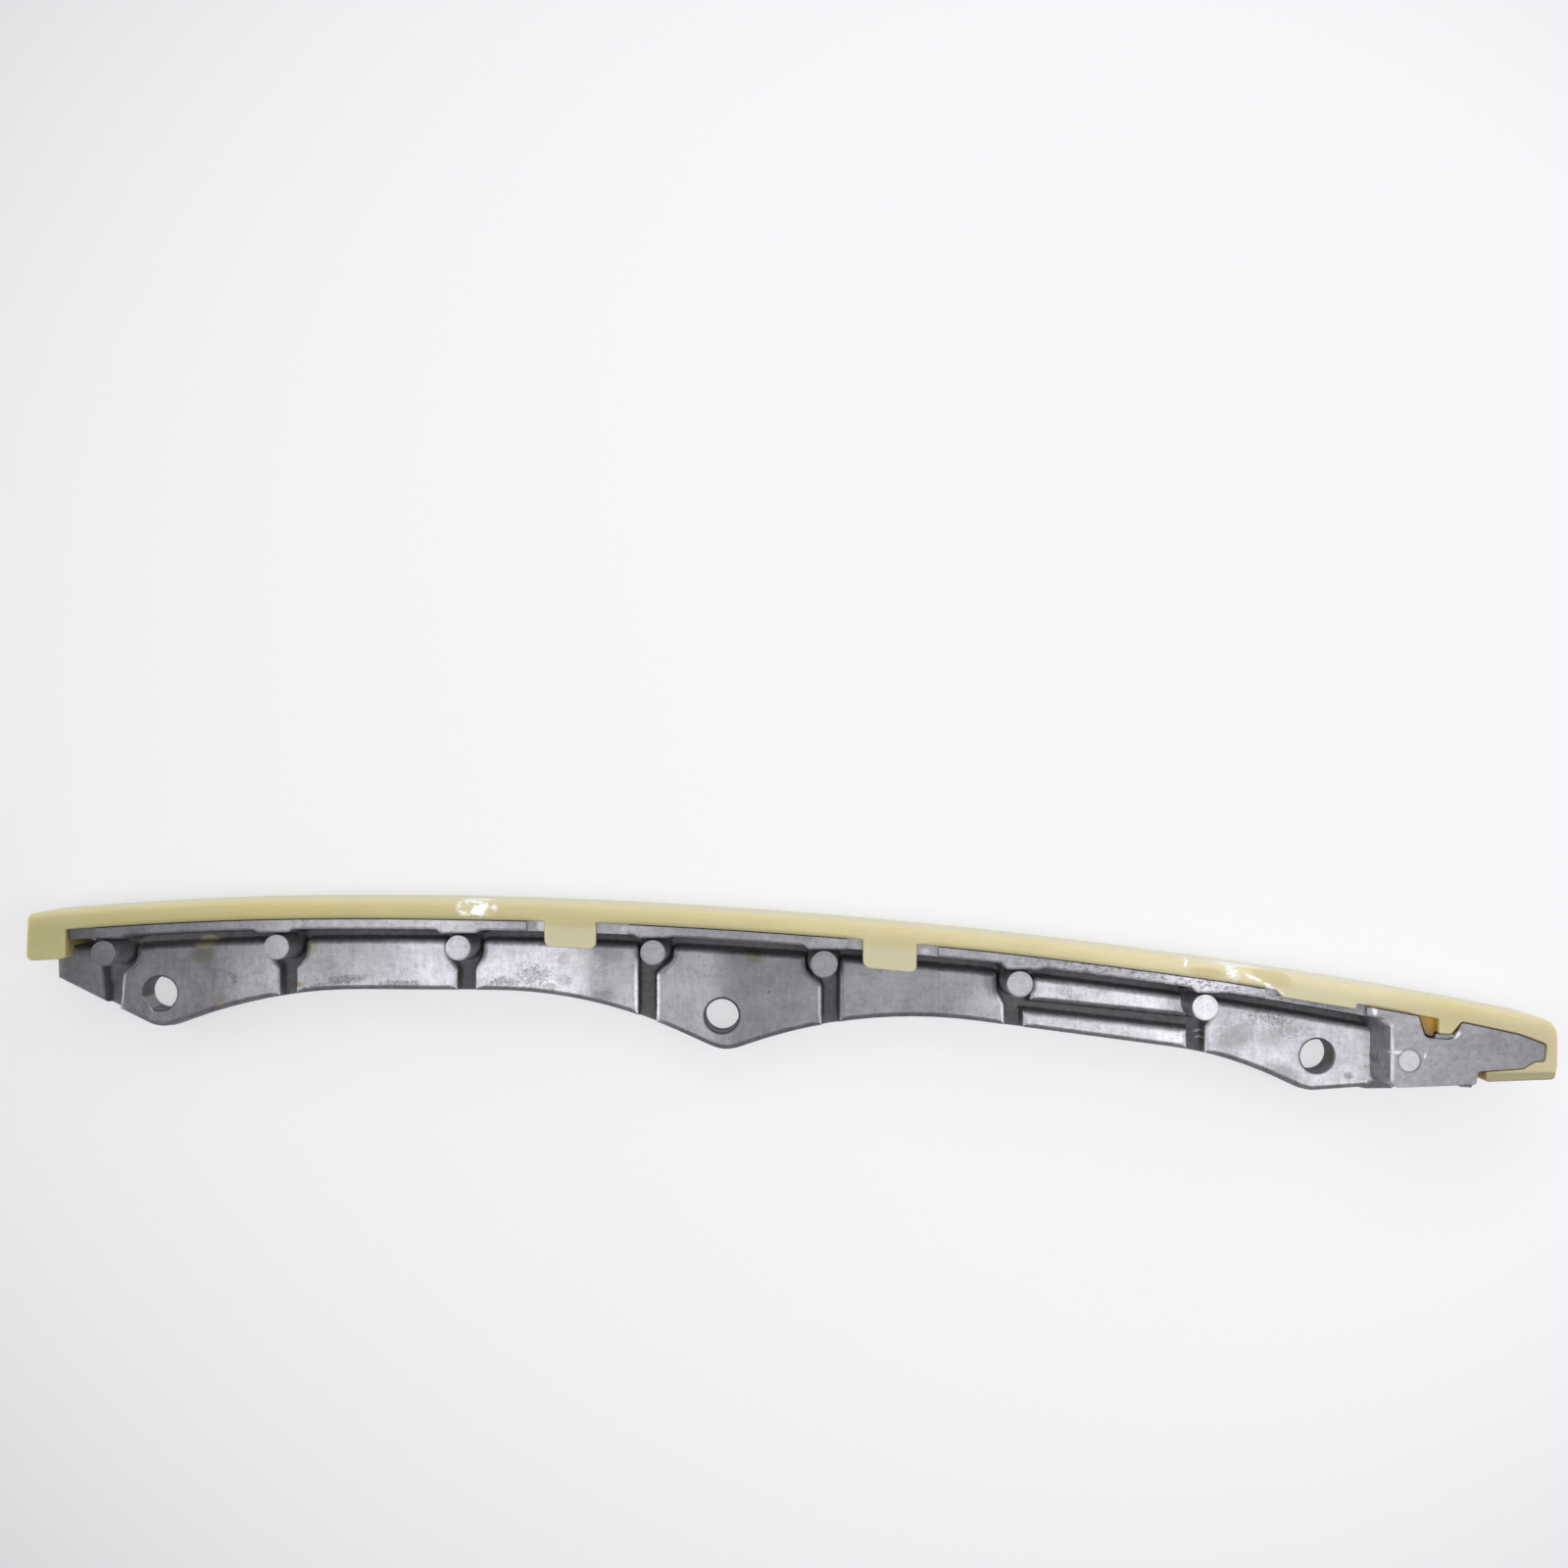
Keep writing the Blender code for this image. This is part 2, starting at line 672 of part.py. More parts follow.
def slipper_cutters(back, front):
    """Cutters that leave the clips, the lug and the left hook only as thick as they are."""
    inside = front - CLIP_THICK
    zones = [(left - 0.5, right + 0.5, drop + OVER, back + CLIP_THICK) for left, right, drop in CLIPS]
    zones.append((KEY_LUG[0] - 0.3, KEY_LUG[1] + 0.3, 3.0, back - OVER))
    cutters = []
    for i, (left, right, drop, z0) in enumerate(zones):
        lower = [(x, seat(x) - drop) for x in stations(left, right)]
        upper = [(x, underside(x) - 0.05) for x in stations(right, left)]
        cutters.append(prism(f"clip_gap_{i}", lower + upper, z0, inside))
    left, right = SLIPPER_LEFT - OVER, FLANGE_LEFT + OVER
    low, high = HOOK_BOTTOM - 2.0 * OVER, HOOK_REAR_BOTTOM
    hook = [(left, low), (right, low), (right, high), (left, high)]
    cutters.append(prism("hook_gap", hook, back - OVER, front - HOOK_DEPTH))
    return cutters


def barbs(front):
    """A wedge behind each front clip, which catches under the flange."""
    made = []
    inside = front - CLIP_THICK
    for i, (left, right, drop) in enumerate(CLIPS):
        left, right = left + BARB_INSET, right - BARB_INSET
        middle = (left + right) / 2.0
        high = flange_edge(middle) - FLANGE_DRAFT - CLEARANCE
        low = seat(middle) - drop + SMALL_ROUND
        wide = [(left, low), (right, low), (right, high), (left, high)]
        thin = [(left, high - 0.7), (right, high - 0.7), (right, high), (left, high)]
        made.append(loft(f"barb_{i}", thin, wide, inside - BARB_DEPTH, inside + CLEARANCE))
    return made


def build_slipper():
    """The nylon slipper: strip, end hooks, clips, key lug and peg."""
    back = FLANGE_BACK_Z - PROUD
    front = FLANGE_FRONT_Z + PROUD
    slipper = prism("slipper", slipper_outline(), back, front, SLIPPER_EDGE, SLIPPER_EDGE)
    combine(slipper, slipper_cutters(back, front), "DIFFERENCE")
    combine(slipper, barbs(front), "UNION")
    return slipper


def material(name, colour, metallic, roughness):
    """A plain material of the piece's colour and shine."""
    made = bpy.data.materials.new(name)
    made.use_nodes = True
    shader = made.node_tree.nodes["Principled BSDF"]
    shader.inputs["Base Color"].default_value = (*colour, 1.0)
    shader.inputs["Metallic"].default_value = metallic
    shader.inputs["Roughness"].default_value = roughness
    return made


def dress(made, look):
    """Gives the object its material, and smooth shading with sharp edges."""
    made.data.materials.clear()
    made.data.materials.append(look)
    made.data.shade_smooth()
    made.data.set_sharp_from_angle(angle=math.radians(32.0))


def centre(objects):
    """Moves the meshes so that the middle of the underside is the origin."""
    corners = np.array([vertex.co[:] for made in objects for vertex in made.data.vertices])
    low, high = corners.min(axis=0), corners.max(axis=0)
    shift = Vector((-(low[0] + high[0]) / 2.0, -(low[1] + high[1]) / 2.0, -low[2]))
    for made in objects:
        made.data.transform(Matrix.Translation(shift))


def main():
    for old in list(bpy.data.objects):
        bpy.data.objects.remove(old, do_unlink=True)
    bracket = build_bracket()
    slipper = build_slipper()
    dress(bracket, material("cast_aluminium", (0.52, 0.52, 0.54), 0.9, 0.55))
    dress(slipper, material("natural_nylon", (0.84, 0.76, 0.45), 0.0, 0.35))
    centre([bracket, slipper])


main()
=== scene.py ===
"""Timing chain guide: the look of its cast bracket and its nylon slipper, in a plain studio.

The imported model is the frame. Every length is in millimetres and becomes metres when a
mesh is made. Places are given from the drawing's origin, on the line of sight above the
guide, and move by DRAWING_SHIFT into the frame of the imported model.
"""
from __future__ import annotations

import logging
import math
from dataclasses import dataclass
from enum import Enum
from functools import reduce
from typing import Callable, Iterable, Sequence, Union

import bmesh
import bpy
import numpy as np
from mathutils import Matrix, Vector


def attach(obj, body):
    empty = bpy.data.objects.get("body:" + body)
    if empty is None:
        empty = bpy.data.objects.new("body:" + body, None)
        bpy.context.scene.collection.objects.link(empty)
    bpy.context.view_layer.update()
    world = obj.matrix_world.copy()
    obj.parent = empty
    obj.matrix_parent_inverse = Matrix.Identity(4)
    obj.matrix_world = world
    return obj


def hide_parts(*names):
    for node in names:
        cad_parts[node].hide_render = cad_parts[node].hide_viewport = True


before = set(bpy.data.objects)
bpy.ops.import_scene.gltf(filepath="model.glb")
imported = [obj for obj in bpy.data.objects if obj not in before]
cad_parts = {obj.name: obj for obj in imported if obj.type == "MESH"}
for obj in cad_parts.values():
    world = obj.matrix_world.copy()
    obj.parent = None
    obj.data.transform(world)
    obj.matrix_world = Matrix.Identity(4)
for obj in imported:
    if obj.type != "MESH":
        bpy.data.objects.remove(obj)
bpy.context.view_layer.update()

LOG = logging.getLogger("chain_guide")
MM = 0.001
DRAWING_SHIFT = (-1.6157, 43.955)
DOUBLES = 1e-7
FULL_TURN = 2.0 * math.pi
LARGE_RADIUS = 20.0
ARC_TURN, LARGE_ARC_TURN = math.radians(14.0), math.radians(2.5)
ARC_STEPS = (4, 24)
ROOT_SINK = 0.06
LEVEL = 0.99999
SPOT_DEPTH = 1000.0
GIVE_WAY = 0.02
BLACK = (0.0, 0.0, 0.0)

Point = tuple[float, float]
Corner = tuple[float, float, float]
Colour = tuple[float, float, float]
Tones = tuple[tuple[float, float], ...]
Stops = Sequence[tuple[float, Colour]]
Socket = bpy.types.NodeSocket
Piece = bpy.types.Object
Finish = bpy.types.Material


class Join(Enum):
    """How a tool solid changes the solid that it meets."""

    ADD = "UNION"
    CUT = "DIFFERENCE"


# Drawing of the guide


class Spline:
    """A natural cubic spline y(x) through a few points."""

    def __init__(self, points: Sequence[Point]) -> None:
        """Works out the bend at each point.

        Args:
            points: the places the curve passes through, from left to right.
        """
        self.x = np.array([x for x, _ in points], float)
        self.y = np.array([y for _, y in points], float)
        count = len(points)
        width = np.diff(self.x)
        slope = np.diff(self.y) / width
        matrix = np.eye(count)
        change = np.zeros(count)
        for i in range(1, count - 1):
            matrix[i, i - 1:i + 2] = (width[i - 1], 2.0 * (width[i - 1] + width[i]), width[i])
            change[i] = 6.0 * (slope[i] - slope[i - 1])
        self.bend = np.linalg.solve(matrix, change)

    def __call__(self, x: float) -> float:
        """Height of the curve at one place.

        Args:
            x: place along the guide.

        Returns:
            The height there.
        """
        i = int(np.clip(np.searchsorted(self.x, x) - 1, 0, len(self.x) - 2))
        width = self.x[i + 1] - self.x[i]
        a = (self.x[i + 1] - x) / width
        b = (x - self.x[i]) / width
        bent = (a ** 3 - a) * self.bend[i] + (b ** 3 - b) * self.bend[i + 1]
        return float(a * self.y[i] + b * self.y[i + 1] + bent * width * width / 6.0)


@dataclass(frozen=True)
class GuideDrawing:
    """The running face of the chain and the lines that follow it across the guide."""

    run: tuple[Point, ...] = (
        (-154.4, -26.4), (-125.0, -24.4), (-83.3, -23.5), (-41.7, -24.45), (0.0, -26.95),
        (41.7, -30.75), (83.3, -35.85), (125.0, -42.2), (157.8, -48.35),
    )
    strip: tuple[Point, ...] = (
        (-146.0, 3.7), (-65.0, 3.75), (-30.0, 3.5), (40.0, 3.2), (90.0, 3.4), (122.0, 4.0), (140.0, 4.1),
    )
    clearance: float = 0.3
    flange_thick: float = 2.0
    channel: float = 4.9
    step: float = 1.5

    def running(self, x: float) -> float:
        """Running face of the slipper."""
        return Spline(self.run)(x)

    def underside(self, x: float) -> float:
        """Lower face of the nylon strip."""
        places, sizes = zip(*self.strip)
        return self.running(x) - float(np.interp(x, places, sizes))

    def seat(self, x: float) -> float:
        """Top face of the flange, a clearance below the strip."""
        return self.underside(x) - self.clearance

    def flange_edge(self, x: float) -> float:
        """Lower front edge of the flange."""
        return self.seat(x) - self.flange_thick

    def panel_top(self, x: float) -> float:
        """Upper edge of the panels, across the channel from the flange."""
        return self.seat(x) - self.channel

    def running_polynomial(self, unit: float, order: int = 4) -> list[float]:
        """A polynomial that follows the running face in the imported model's frame.

        Args:
            unit: length that the polynomial takes as 1.
            order: its order.

        Returns:
            Its coefficients, the highest power first, which give millimetres.
        """
        places = np.array(stations(self.run[0][0], self.run[-1][0], 4.0))
        heights = [self.running(x) + DRAWING_SHIFT[1] for x in places]
        return [float(c) for c in np.polyfit((places + DRAWING_SHIFT[0]) / unit, heights, order)]

    def along(
        self, curve: Callable[[float], float], start: float, end: float, drop: float = 0.0
    ) -> list[Corner]:
        """Corners that follow a line of the drawing.

        Args:
            curve: one of the drawing's lines.
            start: place where the corners begin.
            end: place where they stop.
            drop: how far below the line they run.

        Returns:
            Sharp corners at even places, both ends included.
        """
        return [(x, curve(x) - drop, 0.0) for x in stations(start, end, self.step)]


def stations(start: float, end: float, step: float) -> list[float]:
    """Even places from start to end, both included, about a step apart."""
    count = max(1, round(abs(end - start) / step))
    return [start + (end - start) * i / count for i in range(count + 1)]


def corner_arc(before: Point, at: Point, after: Point, radius: float) -> list[Point]:
    """Rounds one corner of an outline.

    Args:
        before: the corner before it.
        at: the corner itself.
        after: the corner after it.
        radius: radius of the arc.

    Returns:
        Points of the arc, its two ends included.
    """
    into = (Vector(before) - Vector(at)).normalized()
    out = (Vector(after) - Vector(at)).normalized()
    between = into.angle(out)
    start = Vector(at) + into * (radius / math.tan(between / 2.0))
    middle = Vector(at) + (into + out).normalized() * (radius / math.sin(between / 2.0))
    arm = start - middle
    turn = math.pi - between
    if into.x * out.y - into.y * out.x > 0.0:
        turn = -turn
    fine = ARC_TURN if radius < LARGE_RADIUS else LARGE_ARC_TURN
    fewest, most = ARC_STEPS
    steps = max(fewest, min(most, math.ceil(abs(turn) / fine)))
    points = []
    for i in range(steps + 1):
        c, s = math.cos(turn * i / steps), math.sin(turn * i / steps)
        points.append((middle.x + arm.x * c - arm.y * s, middle.y + arm.x * s + arm.y * c))
    return points


def rounded(corners: Sequence[Corner], closed: bool = True) -> list[Point]:
    """The outline through corners (x, y, radius), each rounded by its own radius.

    Args:
        corners: corners in the order of the outline.
        closed: whether the last corner joins the first.

    Returns:
        Points of the rounded outline.
    """
    points: list[Point] = []
    count = len(corners)
    for i, (x, y, radius) in enumerate(corners):
        if radius <= 0.0 or (not closed and i in (0, count - 1)):
            points.append((x, y))
            continue
        points += corner_arc(corners[i - 1][:2], (x, y), corners[(i + 1) % count][:2], radius)
    return points


def dense(points: Sequence[Point], step: float) -> list[Point]:
    """The closed outline with points added, so that no side is longer than a step.

    Args:
        points: corners of the outline.
        step: longest side that is allowed.

    Returns:
        The outline with the added points.
    """
    out: list[Point] = []
    for (ax, ay), (bx, by) in zip(points, [*points[1:], points[0]]):
        count = max(1, math.ceil(math.hypot(bx - ax, by - ay) / step))
        out += [(ax + (bx - ax) * i / count, ay + (by - ay) * i / count) for i in range(count)]
    return out


def clear_of_corners(points: Sequence[Point], reach: float, sharp: float = 40.0) -> list[Point]:
    """Thins a closed outline beside its sharp corners, so that it can be moved inwards.

    Args:
        points: the outline.
        reach: how far from a sharp corner its other points have to be.
        sharp: turn in degrees above which a corner is sharp.

    Returns:
        The outline without the points that are too near.
    """
    turns = []
    for before, at, after in zip([points[-1], *points], points, [*points[1:], points[0]]):
        turns.append((Vector(at) - Vector(before)).angle(Vector(after) - Vector(at), 0.0))
    corners = [point for point, turn in zip(points, turns) if turn > math.radians(sharp)]
    return [
        point for point in points
        if point in corners or all(math.dist(point, corner) > reach for corner in corners)
    ]


def mitres(outline: np.ndarray) -> np.ndarray:
    """Outward directions at the points of a counter-clockwise outline.

    Args:
        outline: the points, one row each.

    Returns:
        One vector for each point: moving the outline by an amount times its vector moves
        every side square to itself by that amount.
    """
    after = np.roll(outline, -1, axis=0) - outline
    after /= np.linalg.norm(after, axis=1)[:, None]
    before = np.roll(after, 1, axis=0)
    normal = np.stack((after[:, 1] + before[:, 1], -after[:, 0] - before[:, 0]), axis=1)
    normal /= np.maximum(np.linalg.norm(normal, axis=1), 1e-9)[:, None]
    square = np.maximum(0.5, normal[:, 0] * after[:, 1] - normal[:, 1] * after[:, 0])
    return normal / square[:, None]


def shifted(before: Point, at: Point, after: Point, amount: float) -> Point:
    """The point moved square to both of its sides, to the right of the way along them.

    Args:
        before: the point before it.
        at: the point that moves.
        after: the point after it.
        amount: distance from both sides.

    Returns:
        The moved point.
    """
    one = (Vector(at) - Vector(before)).normalized()
    two = (Vector(after) - Vector(at)).normalized()
    normal = Vector((one.y + two.y, -one.x - two.x)).normalized()
    square = max(0.5, normal.dot(Vector((one.y, -one.x))))
    moved = Vector(at) + normal * (amount / square)
    return moved.x, moved.y


# Solids


@dataclass(frozen=True)
class Ring:
    """One level of a lofted form: its height, how far it stands out, and its share of a root's flare."""

    z: float
    grow: float = 0.0
    flare: float = 0.0


def quarter(steps: int) -> list[Point]:
    """Cosine and sine at even steps from 0 to 90 degrees."""
    turns = [math.pi / 2.0 * i / steps for i in range(steps + 1)]
    return [(math.cos(turn), math.sin(turn)) for turn in turns]


def root_rings(z: float, radius: float, steps: int = 4) -> list[Ring]:
    """Levels of the hollow fillet where a wall rises from a floor."""
    low = z - ROOT_SINK
    return [Ring(low + radius * (1.0 - c), 0.0, radius * (1.0 - s)) for c, s in quarter(steps)]


def rim_rings(z: float, radius: float, steps: int = 4) -> list[Ring]:
    """Levels of the rounded edge where a wall meets a front face."""
    return [Ring(z - radius * (1.0 - s), -radius * (1.0 - c)) for c, s in quarter(steps)]


def foot_rings(z: float, radius: float, steps: int = 2) -> list[Ring]:
    """Levels of the rounded edge where a wall meets a back face."""
    return [Ring(2.0 * z - ring.z, ring.grow) for ring in reversed(rim_rings(z, radius, steps))]


def in_scene(name: str, data: bpy.types.ID) -> Piece:
    """Makes an object of the scene from a mesh, a lamp or a camera.

    Args:
        name: name of the object.
        data: what the object holds.

    Returns:
        The new object.
    """
    made = bpy.data.objects.new(name, data)
    bpy.context.scene.collection.objects.link(made)
    return made


def linked(name: str, mesh: bmesh.types.BMesh) -> Piece:
    """Turns a bmesh into an object of the scene.

    Args:
        name: name of the object.
        mesh: the finished bmesh.

    Returns:
        The new object.
    """
    data = bpy.data.meshes.new(name)
    mesh.to_mesh(data)
    mesh.free()
    return in_scene(name, data)


def mend(mesh: bmesh.types.BMesh) -> None:
    """Merges the doubles of a bmesh and turns its faces outwards."""
    bmesh.ops.remove_doubles(mesh, verts=mesh.verts, dist=DOUBLES)
    bmesh.ops.recalc_face_normals(mesh, faces=mesh.faces)


def placed(x: float, y: float, z: float) -> tuple[float, float, float]:
    """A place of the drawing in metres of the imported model's frame."""
    return (x + DRAWING_SHIFT[0]) * MM, (y + DRAWING_SHIFT[1]) * MM, z * MM


@dataclass
class Form:
    """A closed form between two outlines with as many points, given level by level."""

    narrow: Sequence[Point]
    rings: Sequence[Ring]
    wide: Union[Sequence[Point], None] = None
    flare: Union[Callable[[float, float], float], None] = None

    def levels(self) -> list[np.ndarray]:
        """Points of each level, in drawing millimetres.

        Returns:
            One array of points for each level.
        """
        front = np.array(self.narrow, float)
        back = front if self.wide is None else np.array(self.wide, float)
        out = mitres(front)
        share = np.array([1.0 if self.flare is None else self.flare(x, y) for x, y in self.narrow])
        low, high = self.rings[0].z, self.rings[-1].z
        made = []
        for ring in self.rings:
            lean = (high - ring.z) / (high - low)
            base = front + (back - front) * lean
            made.append(base + out * (ring.grow + ring.flare * share)[:, None])
        return made

    def add_to(self, mesh: bmesh.types.BMesh) -> None:
        """Adds the form's closed shell to a bmesh.

        Args:
            mesh: the bmesh that takes the shell.
        """
        rows = []
        for ring, points in zip(self.rings, self.levels()):
            rows.append([mesh.verts.new(placed(x, y, ring.z)) for x, y in points])
        for low, high in zip(rows, rows[1:]):
            for a, b, c, d in zip(low, [*low[1:], low[0]], [*high[1:], high[0]], high):
                mesh.faces.new((a, b, c, d))
        mesh.faces.new(rows[-1])
        mesh.faces.new(rows[0][::-1])


def solid(name: str, forms: Iterable[Form]) -> Piece:
    """One object that holds the closed shells of some forms.

    Args:
        name: name of the object.
        forms: the forms, each a closed shell.

    Returns:
        The new object.
    """
    mesh = bmesh.new()
    for form in forms:
        form.add_to(mesh)
    return linked(name, mesh)


def prism(points: Sequence[Point], low: float, high: float) -> Form:
    """A straight form with sharp edges between two heights."""
    return Form(points, [Ring(low), Ring(high)])


def turned(
    name: str, profile: Sequence[Point], sides: int, ring: bool = False, centre: Point = (0.0, 0.0)
) -> Piece:
    """A solid of revolution about an upright axis.

    Args:
        name: name of the object.
        profile: (radius, height) points in millimetres, from the axis back to the axis.
        sides: number of sides round the axis.
        ring: whether the profile is a closed one that stays off the axis.
        centre: place of the axis in metres.

    Returns:
        The closed solid.
    """
    mesh = bmesh.new()
    chain = [mesh.verts.new((radius * MM, 0.0, z * MM)) for radius, z in profile]
    after = [*chain[1:], chain[0]] if ring else chain[1:]
    edges = [mesh.edges.new(pair) for pair in zip(chain, after)]
    way = {"axis": (0, 0, 1), "angle": FULL_TURN, "steps": sides, "use_merge": True}
    bmesh.ops.spin(mesh, geom=chain + edges, **way)
    mend(mesh)
    bmesh.ops.translate(mesh, verts=mesh.verts, vec=(*centre, 0.0))
    return linked(name, mesh)


def evaluated_mesh(made: Piece) -> bpy.types.Mesh:
    """A plain mesh of the object with its modifiers applied.

    Args:
        made: the object with its modifiers.

    Returns:
        The new mesh.
    """
    graph = bpy.context.evaluated_depsgraph_get()
    graph.update()
    return bpy.data.meshes.new_from_object(made.evaluated_get(graph))


def combine(target: Piece, tools: Iterable[Piece], how: Join) -> None:
    """Joins the tools to the target or cuts them from it, and removes them.

    Args:
        target: the solid that changes.
        tools: closed solids, each of one or more shells apart from each other.
        how: whether they are added or cut.

    Raises:
        RuntimeError: if nothing is left of the target.
    """
    for tool in tools:
        modifier = target.modifiers.new(how.name.lower(), "BOOLEAN")
        modifier.operation = how.value
        modifier.solver = "MANIFOLD"
        modifier.object = tool
        result = evaluated_mesh(target)
        target.modifiers.remove(modifier)
        if not result.polygons:
            raise RuntimeError(f"{tool.name} left nothing of {target.name}")
        target.data = result
        bpy.data.objects.remove(tool, do_unlink=True)


def finish_surface(made: Piece, look: Finish, sharp: float = 38.0) -> None:
    """Gives a finished piece its material and smooth shading that keeps level faces flat.

    Args:
        made: the piece.
        look: its material.
        sharp: angle in degrees above which an edge stays sharp.
    """
    mesh = bmesh.new()
    mesh.from_mesh(made.data)
    mend(mesh)
    for face in mesh.faces:
        face.smooth = True
        face.material_index = 0
    for edge in mesh.edges:
        level = [abs(face.normal.z) > LEVEL for face in edge.link_faces]
        edge.smooth = edge.calc_face_angle(0.0) < math.radians(sharp) and all(level) == any(level)
    mesh.to_mesh(made.data)
    mesh.free()
    made.data.materials.clear()
    made.data.materials.append(look)
    modifier = made.modifiers.new("weighted", "WEIGHTED_NORMAL")
    modifier.keep_sharp = True
    modifier.weight = 80
    data = evaluated_mesh(made)
    made.modifiers.remove(modifier)
    made.data = data


@dataclass(frozen=True)
class CopiesOnPoints:
    """A Geometry Nodes tree that sets copies of one shape on points, each with its own width."""

    name: str
    width_attribute: str = "width"

    def tree(self) -> bpy.types.NodeTree:
        """Builds the tree, with its shape and its finish as named inputs.

        Returns:
            The node tree.
        """
        tree = bpy.data.node_groups.new(self.name, "GeometryNodeTree")
        for name, way, kind in (
            ("Points", "INPUT", "Geometry"),
            ("Shape", "INPUT", "Object"),
            ("Finish", "INPUT", "Material"),
            ("Copies", "OUTPUT", "Geometry"),
        ):
            tree.interface.new_socket(name, in_out=way, socket_type=f"NodeSocket{kind}")
        entry, shape, width, scale, copies, real, dress, leave = map(tree.nodes.new, (
            "NodeGroupInput", "GeometryNodeObjectInfo", "GeometryNodeInputNamedAttribute",
            "ShaderNodeCombineXYZ", "GeometryNodeInstanceOnPoints", "GeometryNodeRealizeInstances",
            "GeometryNodeSetMaterial", "NodeGroupOutput",
        ))
        width.data_type = "FLOAT"
        width.inputs["Name"].default_value = self.width_attribute
        scale.inputs["Z"].default_value = 1.0
        for start, end in (
            (entry.outputs["Points"], copies.inputs["Points"]),
            (entry.outputs["Shape"], shape.inputs["Object"]),
            (shape.outputs["Geometry"], copies.inputs["Instance"]),
            (width.outputs["Attribute"], scale.inputs["X"]),
            (width.outputs["Attribute"], scale.inputs["Y"]),
            (scale.outputs["Vector"], copies.inputs["Scale"]),
            (copies.outputs["Instances"], real.inputs["Geometry"]),
            (real.outputs["Geometry"], dress.inputs["Geometry"]),
            (entry.outputs["Finish"], dress.inputs["Material"]),
            (dress.outputs["Geometry"], leave.inputs["Copies"]),
        ):
            tree.links.new(start, end)
        return tree

    def set_out(
        self, shape: Piece, places: Sequence[Point], widths: Sequence[float], look: Finish
    ) -> Piece:
        """Sets out the copies and turns them into one plain mesh.

        Args:
            shape: the shape that repeats, centred on the scene's origin. It is removed.
            places: centres of the copies on the drawing.
            widths: factor on each copy's width.
            look: material of the copies.

        Returns:
            One object with a closed shell at each place.
        """
        data = bpy.data.meshes.new(self.name)
        data.from_pydata([placed(x, y, 0.0) for x, y in places], [], [])
        attribute = data.attributes.new(self.width_attribute, "FLOAT", "POINT")
        attribute.data.foreach_set("value", np.array(widths, np.float32))
        made = in_scene(self.name, data)
        modifier = made.modifiers.new(self.name, "NODES")
        modifier.node_group = self.tree()
        sockets = {s.name: s.identifier for s in modifier.node_group.interface.items_tree}
        modifier[sockets["Shape"]] = shape
        modifier[sockets["Finish"]] = look
        result = evaluated_mesh(made)
        made.modifiers.remove(modifier)
        made.data = result
        bpy.data.objects.remove(shape, do_unlink=True)
        return made


# Sub-assemblies


@dataclass(frozen=True)
class Boss:
    """A boss at the head of a groove: place, the saddle over it, its groove and its notches."""

    x: float
    drop: float
    radius: float
    saddle: tuple[float, float]
    groove: tuple[float, float]
    notches: tuple[float, float] = (3.65, 3.65)


@dataclass(frozen=True)
class Clip:
    """A clip of the slipper: its ends, its reach below the flange's top, its pocket's margins."""

    left: float
    right: float
    drop: float
    pocket: tuple[float, float]


@dataclass(frozen=True)
class EndBlock:
    """The thick end of the bracket: block, notch for the peg, and tongue."""

    step: Point = (141.9, 141.3)
    left: float = 123.9
    draft: float = 2.2
    round_top: float = 1.9
    lower: tuple[float, float, float, float] = (-58.8, -61.45, -62.05, -60.6)
    chamfer: float = 1.3
    foot_points: tuple[Point, ...] = ((-3.4, -63.45), (-1.9, -63.85), (3.6, -63.8), (4.2, -63.1))
    foot_top: float = -61.2
    foot_z: float = 6.9
    notch_left: float = 129.6
    notch: tuple[Corner, ...] = ((130.9, -51.8, 1.6), (136.6, -52.2, 1.6))
    tongue: tuple[Corner, ...] = (
        (138.3, -48.6, 0.8), (150.0, -51.1, 6.0), (155.6, -53.2, 1.0),
        (155.2, -56.6, 0.5), (153.2, -56.7, 0.6), (150.9, -58.15, 1.5),
    )
    notch_step: tuple[Point, ...] = ((133.3, -51.15), (133.2, -52.6), (137.0, -52.8), (136.9, -51.3))
    flash_lines: tuple[tuple[Point, ...], ...] = (
        ((123.9, -55.15), (126.1, -54.95), (126.1, -54.7), (123.9, -54.5)),
        ((130.6, -56.05), (130.85, -56.0), (131.05, -55.0), (130.8, -55.05)),
    )
    gate: tuple[Point, ...] = ((137.7, -61.0), (138.6, -62.05), (140.8, -62.2), (141.5, -61.0))
    pin: Point = (127.6, -56.5)
    pin_ring: tuple[Point, ...] = ((2.12, -0.16), (2.3, -0.16), (2.42, 1.0), (2.0, 1.0))

    def wall_foot(self) -> list[Point]:
        """Lower points of the ledge at the foot of the end wall."""
        return [(self.left + x, y) for x, y in self.foot_points]

    def outline(self, lean: float) -> list[Corner]:
        """Lower corners from the step under the tongue to the left face, moved left by a lean.

        Args:
            lean: distance that the corners move left.

        Returns:
            The corners with their radii.
        """
        y_step, y_right, y_left, y_chamfer = self.lower
        return [
            (self.step[0], y_step, 0.4),
            (self.step[1], y_right, 0.5),
            (self.left + self.chamfer - lean, y_left, 1.0),
            (self.left - lean, y_chamfer, 0.6),
        ]


CLIPS = (Clip(-48.9, -38.35, 5.3, (3.7, 6.6)), Clip(16.1, 27.1, 5.75, (3.1, 4.5)))
KEY_LUG = (100.5, 116.9)


